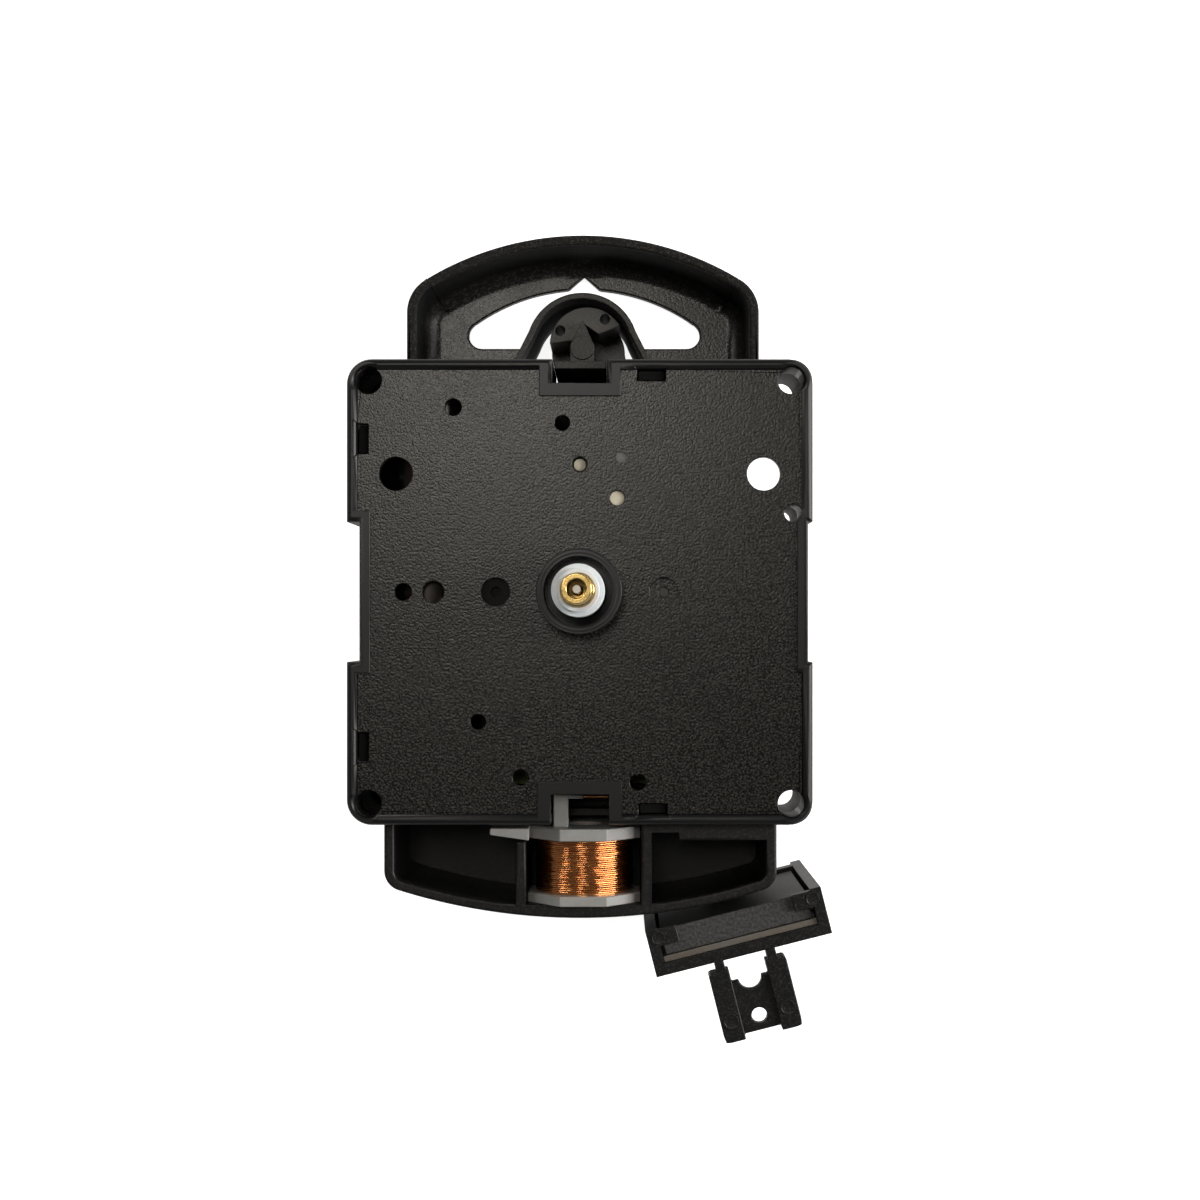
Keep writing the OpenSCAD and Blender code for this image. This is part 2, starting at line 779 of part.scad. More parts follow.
module hanger() {
    color(black)
        difference() {
            union() {
                // Tray with its rim, open at the bottom, and the hanging slot through its floor
                difference() {
                    translate([0, 0, -wall_plane])
                        linear_extrude(hanger_d)
                            hanger_outline(0, hanger_base);
                    translate([0, 0, -wall_plane + hanger_plate])
                        linear_extrude(hanger_d)
                            hanger_outline(hanger_rim, hanger_base - past);
                    translate([0, 0, -wall_plane - past])
                        linear_extrude(hanger_plate + 2 * past)
                            slot_shape();
                }
                // Feet that stand on the frame plate
                for (x = [-1, 1])
                    translate([x > 0 ? band_half - hanger_foot : -band_half, hanger_base, -wall_plane])
                        cube([hanger_foot, frame_top - hanger_base, wall_plane + frame_z]);
            }
            // The dome stands in this opening
            translate([0, 0, -wall_plane - past])
                linear_extrude(wall_plane)
                    dome_outline(-dome_seat);
            translate([-dome_foot - 0.6, hanger_base - past, -wall_plane - past])
                cube([2 * dome_foot + 1.2, half_w - hanger_base, wall_plane]);
        }
}

// Dome over the pendulum's head
module dome() {
    dome_front = -case_d - 0.5;
    color(black)
        translate([0, 0, -wall_plane])
            linear_extrude(wall_plane + dome_front)
                intersection() {
                    difference() {
                        dome_outline(0);
                        dome_outline(dome_wall);
                    }
                    translate([-dome_foot - 2, half_w + 0.1])
                        square([2 * dome_foot + 4, dome_r * 3]);
                }
}

// Knife edge that carries the pendulum, and the tongue that grips the housing's top notch
module pivot_post() {
    disc_r = 1.55;
    disc_y = pivot_y - 3.2;
    seat = frame_top;
    disc_proud = 0.3;
    color(black) {
        translate([0, disc_y, -knife_back])
            cylinder(r = disc_r, h = knife_back - knife_front);
        translate([0, 0, -knife_back])
            linear_extrude(knife_back - knife_front - disc_proud) {
                translate([0, pivot_y])
                    circle(r = tip_r);
                polygon([
                    [-tip_r, pivot_y], [tip_r, pivot_y],
                    [disc_r * cos(25), disc_y + disc_r * sin(25)],
                    [-disc_r * cos(25), disc_y + disc_r * sin(25)]
                ]);
                translate([-disc_r, seat])
                    square([2 * disc_r, disc_y - seat]);
            }
        translate([-tongue_half, seat, frame_z])
            cube([2 * tongue_half, tongue_t, -frame_z - tongue_front]);
    }
}

// Coil housing, below the movement

module coil_box_outline(inset) {
    mirror([0, 1])
        arch(
            coil_box_half - inset, coil_box_arc - inset, -pivot_y,
            coil_box_corner - inset, -frame_low + inset
        );
}

module coil_housing() {
    top = frame_low;
    box_d = coil_box_back - coil_box_front;
    pocket = bobbin_w / 2 + divider_gap;
    open_d = coil_depth + bobbin_w / 2 + loose_fit;
    open_low = winding_top - loose_fit;
    lip_start = coil_x + pocket + 4.5;
    lip_t = 0.9;
    color(black)
        difference() {
            union() {
                translate([0, 0, -coil_box_back])
                    linear_extrude(box_d)
                        difference() {
                            coil_box_outline(0);
                            coil_box_outline(coil_box_wall);
                        }
                translate([0, 0, -coil_box_back])
                    linear_extrude(coil_box_wall)
                        coil_box_outline(coil_box_wall / 2);
                // Dividers beside the coil
                translate([0, 0, -coil_box_back])
                    linear_extrude(box_d)
                        intersection() {
                            coil_box_outline(coil_box_wall / 2);
                            for (x = [-1, 1])
                                translate([coil_x + x * (pocket + coil_box_wall / 2), top])
                                    square([coil_box_wall, 4 * half_w], center = true);
                        }
                // Thicker top wall over the right well
                translate([lip_start, top - coil_box_wall - lip_t, -coil_box_back])
                    cube([coil_box_half - lip_start - coil_box_wall / 2, lip_t + coil_box_wall / 2, box_d]);
                // Seat under the bobbin
                translate([0, 0, -coil_box_back])
                    linear_extrude(box_d)
                        intersection() {
                            coil_box_outline(coil_box_wall / 2);
                            translate([coil_x - pocket, top - 4 * half_w])
                                square([
                                    2 * pocket,
                                    4 * half_w + winding_low - bobbin_low_t - top
                                ]);
                        }
                // Feet that stand on the wall
                for (x = [-1, 1])
                    translate([
                        x > 0 ? coil_box_half - foot_w : -coil_box_half,
                        top - foot_h, -wall_plane
                    ])
                        cube([foot_w, foot_h, wall_plane - coil_box_back + coil_box_wall]);
            }
            // The top is open over the coil and over the left well
            translate([-coil_box_half + coil_box_wall, open_low, -open_d])
                cube([
                    coil_box_half - coil_box_wall + coil_x + pocket, top - open_low + past, open_d
                ]);
        }
}

// Pendulum coil

module upright_prism(radius, low, high, sides) {
    translate([coil_x, high, coil_z])
        rotate([90, 0, 0])
            rotate([0, 0, 180 / sides])
                cylinder(r = radius, h = high - low, $fn = sides);
}

module coil_bobbin() {
    flange_r = bobbin_w / 2 / cos(180 / 8);
    color(milky) {
        difference() {
            union() {
                upright_prism(flange_r, winding_top, flange_top, 8);
                upright_prism(flange_r, winding_low - bobbin_low_t, winding_low, 8);
                upright_prism(drum_r, winding_low - bobbin_low_t, flange_top, 64);
            }
            upright_prism(drum_r - 1, winding_low - bobbin_low_t - past, flange_top + past, 64);
        }
        // Arm to the left, thinner towards its end
        translate([0, 0, coil_z])
            linear_extrude(-coil_z - coil_box_front + 1)
                polygon([
                    [coil_x - bobbin_w / 2 + 0.3, winding_top], [coil_x - bobbin_w / 2 + 0.3, flange_top],
                    [coil_x - 11.4, flange_top], [coil_x - 11.4, flange_top - 0.8]
                ]);
        // Terminal post that reaches into the housing's bottom notch
        translate([post_left, flange_top - 0.2, post_front - post_d])
            cube([post_w, post_top - flange_top + 0.2, post_d]);
        translate([post_left, post_top - 0.5, post_front - post_d])
            cube([2 * post_w, 0.5, post_d]);
    }
}

module coil_core() {
    color(copper)
        difference() {
            upright_prism(core_r, winding_low + 0.02, winding_top - 0.02, 64);
            upright_prism(drum_r + 0.02, winding_low - past, winding_top + past, 64);
        }
}

// Outer layer of the winding: one wire from flange to flange
bend = 2 * wire_d;
wire_climb = wire_turns * wire_pitch;
wire_start = (winding_top + winding_low - wire_climb) / 2;
function wire_angle(i) = 360 * i / rings_per_turn;
function wire_point(angle, y) = [coil_x + wire_r * sin(angle), y, coil_z + wire_r * cos(angle)];
function turn_of(length) = length / wire_r * 180 / PI;
// The ends bend a quarter turn and run straight for one wire diameter onto the flanges
wire_low_end = [
    for (y = [winding_low + 0.01, winding_low + wire_d])
        concat(wire_point(-turn_of(bend), y), -turn_of(bend), 1)
];
wire_low_bend = [
    for (a = [30, 60])
        let (
            angle = -turn_of(bend * cos(a)),
            y = winding_low + wire_d + (wire_start - winding_low - wire_d) * sin(a)
        )
        concat(wire_point(angle, y), angle, cos(a))
];
wire_helix = [
    for (i = [0 : wire_turns * rings_per_turn])
        concat(
            wire_point(wire_angle(i), wire_start + wire_pitch * i / rings_per_turn),
            wire_angle(i), 0
        )
];
wire_last = 360 * wire_turns;
wire_high_bend = [
    for (a = [60, 30])
        let (
            angle = wire_last + turn_of(bend * cos(a)),
            room = winding_top - wire_d - (wire_start + wire_climb),
            y = winding_top - wire_d - room * sin(a)
        )
        concat(wire_point(angle, y), angle, cos(a))
];
wire_high_end = [
    for (y = [winding_top - wire_d, winding_top - 0.01])
        concat(wire_point(wire_last + turn_of(bend), y), wire_last + turn_of(bend), 1)
];
wire_path = concat(wire_low_end, wire_low_bend, wire_helix, wire_high_bend, wire_high_end);

// A ring of six points square to the wire, which heads along the turn or up the coil
function wire_ring(p) =
    let (
        out = [sin(p[3]), 0, cos(p[3])],
        climb = asin(p[4]),
        side = cos(climb) * [0, 1, 0] - sin(climb) * [cos(p[3]), 0, -sin(p[3])]
    )
    [for (k = [0 : 5]) [p[0], p[1], p[2]] + wire_d / 2 * (cos(60 * k) * out + sin(60 * k) * side)];

module sweep(path) {
    last = len(path) - 1;
    points = [for (p = path) each wire_ring(p)];
    sides = [
        for (i = [0 : last - 1], k = [0 : 5])
            let (a = 6 * i + k, b = 6 * i + (k + 1) % 6)
            each [[a, b, a + 6], [b, b + 6, a + 6]]
    ];
    caps = [
        for (k = [1 : 4]) each [[0, k + 1, k], [6 * last, 6 * last + k, 6 * last + k + 1]]
    ];
    polyhedron(points, concat(sides, caps));
}

module coil_winding() {
    color(copper)
        sweep(wire_path);
}

// Least gap of the wire to itself, between points at least half a turn apart
wire_gap = min([
    for (i = [0 : len(wire_path) - 1], j = [i + rings_per_turn / 2 : 1 : len(wire_path) - 1])
        norm([for (k = [0 : 2]) wire_path[i][k] - wire_path[j][k]])
]) - wire_d;
echo(least_gap_of_the_winding = wire_gap);

// A stiff wire along straight runs
module run(from, to, diameter) {
    way = to - from;
    translate(from)
        rotate([0, acos(way[2] / norm(way)), atan2(way[1], way[0])])
            cylinder(d = diameter, h = norm(way), $fn = 16);
}

// The two leads from the bobbin's terminal post to the circuit board
module coil_leads() {
    lead_d = 0.4;
    post_right = post_left + 2 * post_w;
    board_face = board_z + board_t;
    color(copper)
        for (i = [0, 1]) {
            from = [post_right, post_top - 0.25, post_front - 0.8 - 1.2 * i];
            corner = [post_right + 3 + 2 * i, from[1], from[2]];
            run(from, corner, lead_d);
            translate(corner)
                sphere(d = 1.2 * lead_d, $fn = 16);
            run(corner, [corner[0], corner[1] + 1.8, board_face + lead_d / 4], lead_d);
        }
}

// Circuit

module circuit_board() {
    color([0.16, 0.36, 0.2])
        translate([0, 0, board_z])
            linear_extrude(board_t) {
                translate([strip_x + strip_t, board_low])
                    square([board_step + 1 - strip_x - strip_t, 3.5]);
                translate([board_step, board_low + 1.4])
                    square([board_right - board_step, 7.4]);
            }
}

module chip() {
    color([0.1, 0.1, 0.1])
        translate([12, board_low + 2.4, board_z + board_t])
            cube([4.2, 4.2, 1.1]);
}

module quartz_crystal() {
    crystal_d = 2;
    color(steel)
        translate([17.6, board_low + 4.2, board_z + board_t + crystal_d / 2])
            rotate([0, 90, 0])
                cylinder(d = crystal_d, h = 6);
}

// Motor

module stator() {
    shelf = motor_coil_y - motor_coil_d / 2 - motor_flange_t - 2;
    shoulder_left = rotor_at[0] - 4;
    color(steel)
        translate([0, 0, stator_z])
            linear_extrude(stator_t)
                difference() {
                    polygon([
                        [stator_left, stator_step], [shoulder_left, stator_step], [shoulder_left, stator_low],
                        [stator_right, stator_low], [stator_right, stator_top],
                        [stator_right - stator_leg, stator_top], [stator_right - stator_leg, shelf],
                        [stator_left + stator_leg, shelf], [stator_left + stator_leg, stator_top],
                        [stator_left, stator_top]
                    ]);
                    translate(rotor_at)
                        circle(r = rotor_r + rotor_air);
                }
}

module along_x(radius, from, to) {
    translate([from, motor_coil_y, stator_z + stator_t / 2])
        rotate([0, 90, 0])
            cylinder(r = radius, h = to - from);
}

module motor_bobbin() {
    from = stator_left + stator_leg;
    to = stator_right - stator_leg;
    color(milky) {
        along_x(motor_core_d / 2, from, to);
        along_x(motor_coil_d / 2 + 0.1, from, from + motor_flange_t);
        along_x(motor_coil_d / 2 + 0.1, to - motor_flange_t, to);
    }
}

module motor_winding() {
    from = stator_left + stator_leg + motor_flange_t;
    to = stator_right - stator_leg - motor_flange_t;
    color(copper)
        difference() {
            along_x(motor_coil_d / 2, from, to);
            along_x(motor_core_d / 2, from - past, to + past);
        }
}

module rotor_magnet() {
    color([0.25, 0.25, 0.27])
        translate([rotor_at[0], rotor_at[1], stator_z - 0.8])
            tube(rotor_r, 2 * rotor_pivot_r, stator_t + 1.6);
}

module rotor_pinion() {
    top = motion_z + wheel_t + pinion_over;
    color(cream)
        translate([rotor_at[0], rotor_at[1], 0]) {
            translate([0, 0, motion_z - pinion_over])
                rotate([0, 0, heading(rotor_at, inter_at)])
                    gear(rotor_teeth, rotor_m, top - motion_z + pinion_over);
            translate([0, 0, bridge_z])
                cylinder(r = rotor_pivot_r, h = -plate_in + pivot_in - 0.1 - bridge_z);
            translate([0, 0, bridge_z + bridge_t + 0.2])
                cylinder(r = 2 * rotor_pivot_r, h = motion_z - bridge_z - bridge_t - 0.2);
        }
}

// Wheels

module arbor(at, low, high) {
    translate([at[0], at[1], low])
        cylinder(d = arbor_d, h = high - low);
}

module intermediate_wheel() {
    front_r = 0.85;
    color(cream) {
        translate([inter_x, inter_y, motion_z])
            rotate([0, 0, gap_turn(inter_at, rotor_at, inter_teeth)])
                gear(inter_teeth, rotor_m, wheel_t);
        translate([inter_x, inter_y, second_z - pinion_over])
            rotate([0, 0, heading(inter_at, [0, 0])])
                gear(inter_pinion_teeth, inter_m, wheel_t + 2 * pinion_over);
        arbor(inter_at, bridge_z, -plate_in);
        translate([inter_x, inter_y, motion_z])
            cylinder(r = front_r, h = -field_drop - 0.5 - motion_z);
    }
}

module second_wheel() {
    color(cream)
        difference() {
            union() {
                translate([0, 0, second_z])
                    rotate([0, 0, gap_turn([0, 0], inter_at, second_teeth)])
                        gear(second_teeth, inter_m, wheel_t);
                translate([0, 0, third_z - pinion_over])
                    rotate([0, 0, heading([0, 0], third_at)])
                        gear(second_pinion_teeth, second_m, wheel_t + 2 * pinion_over);
                translate([0, 0, second_z])
                    cylinder(r = 0.75, h = third_z - second_z);
            }
            translate([0, 0, second_z - past])
                cylinder(d = second_shaft_d, h = 4);
        }
}

module second_shaft() {
    color(steel)
        translate([0, 0, bridge_z + 0.1])
            cylinder(d = second_shaft_d, h = second_tip_h - bridge_z - 0.1);
}

module third_wheel() {
    color(cream) {
        translate([third_at[0], third_at[1], third_z])
            rotate([0, 0, gap_turn(third_at, [0, 0], third_teeth)])
                gear(third_teeth, second_m, wheel_t);
        translate([third_at[0], third_at[1], minute_z - pinion_over])
            rotate([0, 0, heading(third_at, [0, 0])])
                gear(third_pinion_teeth, third_m, wheel_t + 2 * pinion_over);
        arbor(third_at, bridge_z, -field_drop - recess_depth - 0.1);
    }
}

module minute_wheel() {
    color(cream)
        difference() {
            union() {
                translate([0, 0, minute_z])
                    rotate([0, 0, gap_turn([0, 0], third_at, minute_teeth)])
                        gear(minute_teeth, third_m, wheel_t);
                translate([0, 0, minute_z])
                    rotate([0, 0, heading([0, 0], motion_at)])
                        gear(minute_pinion_teeth, minute_m, motion_z + wheel_t + pinion_over - minute_z);
            }
            translate([0, 0, minute_z - past])
                cylinder(r = minute_body_r, h = 5);
        }
}

module minute_tube() {
    mouth = 10;
    color(brass)
        difference() {
            union() {
                translate([0, 0, minute_z])
                    cylinder(r = minute_body_r, h = hour_tip_h + seat_gap - minute_z);
                translate([0, 0, minute_z])
                    cylinder(d = minute_tube_d, h = minute_tip_h - minute_z);
            }
            translate([0, 0, minute_z - past])
                cylinder(r = minute_bore_r, h = minute_tip_h);
            translate([0, 0, minute_tip_h - mouth])
                cylinder(d = minute_mouth_d, h = mouth + past);
        }
}

module motion_wheel() {
    color(cream) {
        translate([motion_at[0], motion_at[1], motion_z])
            rotate([0, 0, gap_turn(motion_at, [0, 0], motion_teeth)])
                gear(motion_teeth, minute_m, wheel_t);
        translate([motion_at[0], motion_at[1], motion_z])
            rotate([0, 0, heading(motion_at, [0, 0])])
                gear(motion_pinion_teeth, hour_m, hour_z + wheel_t + pinion_over - motion_z);
        arbor(motion_at, knob_z + knob_h - 1, -plate_in + pivot_in - 0.1);
    }
}

module hour_wheel() {
    color(white)
        difference() {
            union() {
                translate([0, 0, hour_z])
                    rotate([0, 0, gap_turn([0, 0], motion_at, hour_teeth)])
                        gear(hour_teeth, hour_m, wheel_t);
                translate([0, 0, hour_z])
                    cylinder(d = hour_tube_d, h = hour_shoulder_h - hour_z);
                translate([0, 0, hour_shoulder_h])
                    cylinder(d = hour_seat_d, h = hour_seat_l);
            }
            translate([0, 0, hour_z - past])
                cylinder(r = hour_bore_r, h = hour_tip_h - hour_z + 2 * past);
        }
}

module setting_knob() {
    grooves = 24;
    color(black)
        translate([motion_at[0], motion_at[1], knob_z])
            difference() {
                cylinder(d = knob_d, h = knob_h);
                for (i = [0 : grooves - 1])
                    rotate([0, 0, 360 / grooves * i])
                        translate([knob_d / 2 + 0.15, 0, -past])
                            cylinder(r = 0.45, h = knob_h + 2 * past, $fn = 16);
                translate([0, 0, knob_h - 1])
                    cylinder(d = arbor_d, h = 1 + past);
            }
}

// Battery and its contacts

module cell_part(diameter, low, high) {
    translate([cell_x, high, cell_z])
        rotate([90, 0, 0])
            cylinder(d = diameter, h = high - low);
}

module battery() {
    color([0.2, 0.22, 0.24]) {
        cell_part(cell_d, cell_low, cell_high);
        cell_part(5.2, cell_high, cell_high + nub_h);
    }
}

module positive_contact() {
    plate_y = cell_high + nub_h;
    wall_y = half_w - case_wall;
    color(steel) {
        // Plate that meets the nub, and the tab that bears on the wall
        translate([cell_x - 3, plate_y, strip_low])
            cube([strip_x - cell_x + 3 + strip_t, strip_t, leaf_h]);
        translate([cell_x - 3, plate_y, strip_low])
            cube([strip_t, wall_y - plate_y, leaf_h]);
        // Strip along the bay's wall to the circuit board
        translate([strip_x, board_low + 3, strip_low])
            cube([strip_t, plate_y + strip_t - board_low - 3, strip_h]);
    }
}

module negative_contact() {
    wall_y = -(half_w - case_wall);
    bow = cell_low - wall_y - strip_t;
    color(steel) {
        translate([cell_x - 4, wall_y, strip_low])
            cube([strip_x - cell_x + 4 + strip_t, strip_t, leaf_h]);
        // Bowed leaf that presses on the cell
        translate([0, 0, strip_low])
            linear_extrude(leaf_h)
                polygon([
                    [cell_x - 3.4, wall_y], [cell_x - 1.2, wall_y + strip_t + bow],
                    [cell_x + 1.2, wall_y + strip_t + bow], [cell_x + 3.4, wall_y]
                ]);
        translate([strip_x, wall_y, strip_low])
            cube([strip_t, board_low + 2 - wall_y, strip_h]);
    }
}

// Pendulum

module head_outline() {
    translate([0, head_drop])
        circle(r = head_r);
}

// The head's front leaves room for the knife edge below the pivot
module head_notch() {
    wide = 12;
    wing = 1.25;
    circle(r = tip_r + run_fit);
    polygon([
        [-tip_r - run_fit, 0], [tip_r + run_fit, 0], [1.7, 1.6], [1.7, 1.65], [4.9, wing],
        [wide, wing], [wide, wide], [-wide, wide], [-wide, wing], [-4.9, wing],
        [-1.7, 1.65], [-1.7, 1.6]
    ]);
}

module pendulum_arm() {
    taper_end = 30;
    color(black)
        on_pendulum()
            difference() {
                union() {
                    // Head and wings in front
                    translate([0, 0, -arm_back])
                        linear_extrude(arm_back - head_front)
                            difference() {
                                head_outline();
                                head_notch();
                            }
                    // Back of the head and the arm
                    translate([0, 0, -arm_back])
                        linear_extrude(arm_t) {
                            head_outline();
                            polygon([
                                [-head_r + 0.1, head_drop], [head_r - 0.1, head_drop],
                                [arm_half, taper_end], [arm_half, tray_r + 1],
                                [-arm_half, tray_r + 1], [-arm_half, taper_end]
                            ]);
                        }
                    // Tray: floor, two sides and the web at its back
                    translate([-tray_half, tray_r + tray_h - tray_wall, -tray_back])
                        cube([2 * tray_half, tray_wall, tray_back - tray_front]);
                    for (x = [-tray_half, tray_half - tray_wall])
                        translate([x, tray_r, -tray_back])
                            cube([tray_wall, tray_h, tray_back - tray_front]);
                    translate([-tray_half, tray_r, -arm_back])
                        cube([2 * tray_half, tray_h, arm_t]);
                    // Tabs in front of the magnet
                    for (x = [-1, 1])
                        translate([x * (tray_half - 1.9) - 1.9, tray_r + 0.2, -magnet_front + 0.05])
                            cube([3.8, 2.1, magnet_front - tray_front - 0.05]);
                }
                for (x = [-3, 3])
                    translate([x, -0.05, -arm_back - past])
                        cylinder(d = 1.25, h = arm_back);
            }
}

module magnet_yoke() {
    color(steel)
        on_pendulum()
            translate([-tray_half + tray_wall, yoke_at, -magnet_back])
                cube([2 * (tray_half - tray_wall), yoke_t, magnet_back - magnet_front + 0.4]);
}

module drive_magnet() {
    color([0.24, 0.24, 0.25])
        on_pendulum()
            translate([-magnet_half, magnet_at, -magnet_back])
                cube([2 * magnet_half, magnet_t, magnet_back - magnet_front]);
}

module rod_hook() {
    tray_end = tray_r + tray_h;
    rail_start = tray_end + 1.3;
    web_start = tray_end + 3;
    web_end = hook_end - 0.5;
    web_t = 1.2;
    web_z = -hook_front - (hook_d + web_t) / 2;
    leg_x = 3.25;
    notch_r = 1.4;
    color(black)
        on_pendulum()
            difference() {
                union() {
                    for (x = [-1, 1]) {
                        translate([x * leg_x - leg_w / 2, tray_end, -hook_front - hook_d])
                            cube([leg_w, web_start - tray_end + 1, hook_d]);
                        translate([
                            x > 0 ? hook_w / 2 - rail_w : -hook_w / 2,
                            rail_start, -hook_front - hook_d
                        ])
                            cube([rail_w, hook_end - rail_start, hook_d]);
                    }
                    translate([-hook_w / 2 + 0.5, web_start, web_z])
                        cube([hook_w - 1, web_end - web_start, web_t]);
                }
                translate([0, web_start, web_z - past])
                    cylinder(r = notch_r, h = web_t + 2 * past);
                translate([0, hook_end - 2.3, web_z - past])
                    cylinder(d = hook_hole_d, h = web_t + 2 * past);
            }
}

front_cover();
rear_housing();
train_bridge();
frame_plate();
hanger();
dome();
pivot_post();
coil_housing();
coil_bobbin();
coil_core();
coil_winding();
coil_leads();
circuit_board();
chip();
quartz_crystal();
stator();
motor_bobbin();
motor_winding();
rotor_magnet();
rotor_pinion();
intermediate_wheel();
second_wheel();
second_shaft();
third_wheel();
minute_wheel();
minute_tube();
motion_wheel();
hour_wheel();
setting_knob();
battery();
positive_contact();
negative_contact();
pendulum_arm();
drive_magnet();
magnet_yoke();
rod_hook();
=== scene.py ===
import json
import math

import bpy
import numpy as np
from mathutils import Matrix, Vector, noise

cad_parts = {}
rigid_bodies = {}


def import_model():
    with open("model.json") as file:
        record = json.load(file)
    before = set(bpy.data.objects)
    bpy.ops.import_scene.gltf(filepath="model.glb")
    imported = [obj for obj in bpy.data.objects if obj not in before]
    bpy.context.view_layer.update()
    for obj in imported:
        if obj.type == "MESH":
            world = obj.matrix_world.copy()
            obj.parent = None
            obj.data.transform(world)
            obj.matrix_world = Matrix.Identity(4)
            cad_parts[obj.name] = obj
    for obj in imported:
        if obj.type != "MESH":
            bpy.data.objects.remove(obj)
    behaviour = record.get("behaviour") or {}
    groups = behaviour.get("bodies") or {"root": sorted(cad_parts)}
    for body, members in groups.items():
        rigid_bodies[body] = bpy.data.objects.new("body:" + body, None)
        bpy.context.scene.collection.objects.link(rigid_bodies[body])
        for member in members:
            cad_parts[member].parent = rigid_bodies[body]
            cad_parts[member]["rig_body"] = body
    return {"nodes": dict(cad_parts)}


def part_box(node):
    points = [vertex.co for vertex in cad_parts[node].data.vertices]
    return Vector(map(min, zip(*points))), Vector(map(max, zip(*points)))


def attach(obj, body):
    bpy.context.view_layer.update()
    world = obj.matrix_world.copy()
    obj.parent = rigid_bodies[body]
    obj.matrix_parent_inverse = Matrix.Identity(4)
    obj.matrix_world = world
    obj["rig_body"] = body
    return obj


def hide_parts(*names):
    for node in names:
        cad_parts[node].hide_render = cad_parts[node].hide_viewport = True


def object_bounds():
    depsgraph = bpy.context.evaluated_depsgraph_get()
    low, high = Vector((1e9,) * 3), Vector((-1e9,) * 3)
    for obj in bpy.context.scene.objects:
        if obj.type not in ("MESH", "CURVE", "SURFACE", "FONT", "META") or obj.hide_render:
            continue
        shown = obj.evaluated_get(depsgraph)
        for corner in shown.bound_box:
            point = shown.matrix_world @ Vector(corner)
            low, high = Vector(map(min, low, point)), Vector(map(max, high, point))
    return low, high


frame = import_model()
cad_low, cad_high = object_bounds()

# Rear housing.
# The moulded rear half of the square housing. It is injection moulded in black plastic with a fine
# spark-eroded grain, and its snap tongues hold the front cover.


class Wire:
    """A node's output. Arithmetic on it adds Math nodes."""

    def __init__(self, nodes, socket):
        self.nodes = nodes
        self.socket = socket

    def maths(self, operation, *values):
        return self.nodes.add("ShaderNodeMath", {"operation": operation}, dict(enumerate(values)))

    def __add__(self, other):
        return self.maths("ADD", self, other)

    def __sub__(self, other):
        return self.maths("SUBTRACT", self, other)

    def __rsub__(self, other):
        return self.maths("SUBTRACT", other, self)

    def __mul__(self, other):
        return self.maths("MULTIPLY", self, other)

    __radd__ = __add__
    __rmul__ = __mul__


class Nodes:
    """A node tree. Every new node in it comes from add."""

    def __init__(self, tree):
        self.tree = tree

    def add(self, kind, settings, inputs, output=0):
        node = self.tree.nodes.new(kind)
        for name, value in settings.items():
            setattr(node, name, value)
        for key, value in inputs.items():
            if isinstance(value, Wire):
                self.tree.links.new(value.socket, node.inputs[key])
            else:
                node.inputs[key].default_value = value
        return Wire(self, node.outputs[output])


class Finish(Nodes):
    """A material. Fixed values are set on the shader's own sockets."""

    def __init__(self, name, fixed):
        self.material = bpy.data.materials.new(name)
        self.material.use_nodes = True
        super().__init__(self.material.node_tree)
        self.shader = self.tree.nodes["Principled BSDF"]
        for key, value in fixed.items():
            self.shader.inputs[key].default_value = value

    def feed(self, key, wire):
        self.tree.links.new(wire.socket, self.shader.inputs[key])

    def cover(self, piece):
        piece.data.materials.clear()
        piece.data.materials.append(self.material)


def in_millimetres(finish):
    """Object coordinates in millimetres, which are the frame's own."""
    place = finish.add("ShaderNodeTexCoord", {}, {}, "Object")
    return finish.add("ShaderNodeMapping", {}, {"Vector": place, "Scale": (1000, 1000, 1000)})


def speckle(finish, place, size, detail=2.0):
    """Noise with grains of about the given size in millimetres."""
    return finish.add(
        "ShaderNodeTexNoise", {}, {"Vector": place, "Scale": 1 / size, "Detail": detail}, "Fac"
    )


def axis(finish, place, which):
    return finish.add("ShaderNodeSeparateXYZ", {}, {"Vector": place}, which)


def spot(finish, place, x, y, radius):
    """1 inside a round spot as seen along Z, and 0 outside it."""
    edge = 0.05
    flat = finish.add(
        "ShaderNodeVectorMath", {"operation": "MULTIPLY"}, {0: place, 1: (1, 1, 0)}, 0
    )
    away = finish.add(
        "ShaderNodeVectorMath", {"operation": "DISTANCE"}, {0: flat, 1: (x, y, 0)}, 1
    )
    return between(finish, away, radius + edge, radius - edge)


def between(finish, value, low, high):
    """0 where the value is at low, 1 where it is at high, and a straight run between them."""
    return finish.add(
        "ShaderNodeMapRange", {}, {"Value": value, "From Min": low, "From Max": high}
    )


def tint(finish, share, first, second):
    """A mix of two colours or colour wires, with the given share of the second."""
    colours = [tone if isinstance(tone, Wire) else (*tone, 1) for tone in (first, second)]
    return finish.add(
        "ShaderNodeMix", {"data_type": "RGBA"}, {0: share, 6: colours[0], 7: colours[1]}, 2
    )


def relief(finish, height, depth):
    """A bump of the given depth in millimetres."""
    bump = finish.add(
        "ShaderNodeBump", {}, {"Height": height, "Distance": depth / 1000, "Strength": 1.0}
    )
    finish.feed("Normal", bump)


def black_plastic(name, dark, speck, size, rough, depth):
    """Black moulded plastic: a fine grain with paler specks, and a slow change of sheen."""
    finish = Finish(name, {"Specular IOR Level": 0.3})
    place = in_millimetres(finish)
    grain = speckle(finish, place, size)
    cloud = speckle(finish, place, 9.0, 3.0)
    finish.tone = tint(finish, between(finish, grain, 0.5, 0.74), dark, speck)
    finish.rough = rough + 0.22 * (grain - 0.5) + 0.16 * (cloud - 0.5)
    finish.feed("Base Color", finish.tone)
    finish.feed("Roughness", finish.rough)
    relief(finish, grain, depth)
    return finish


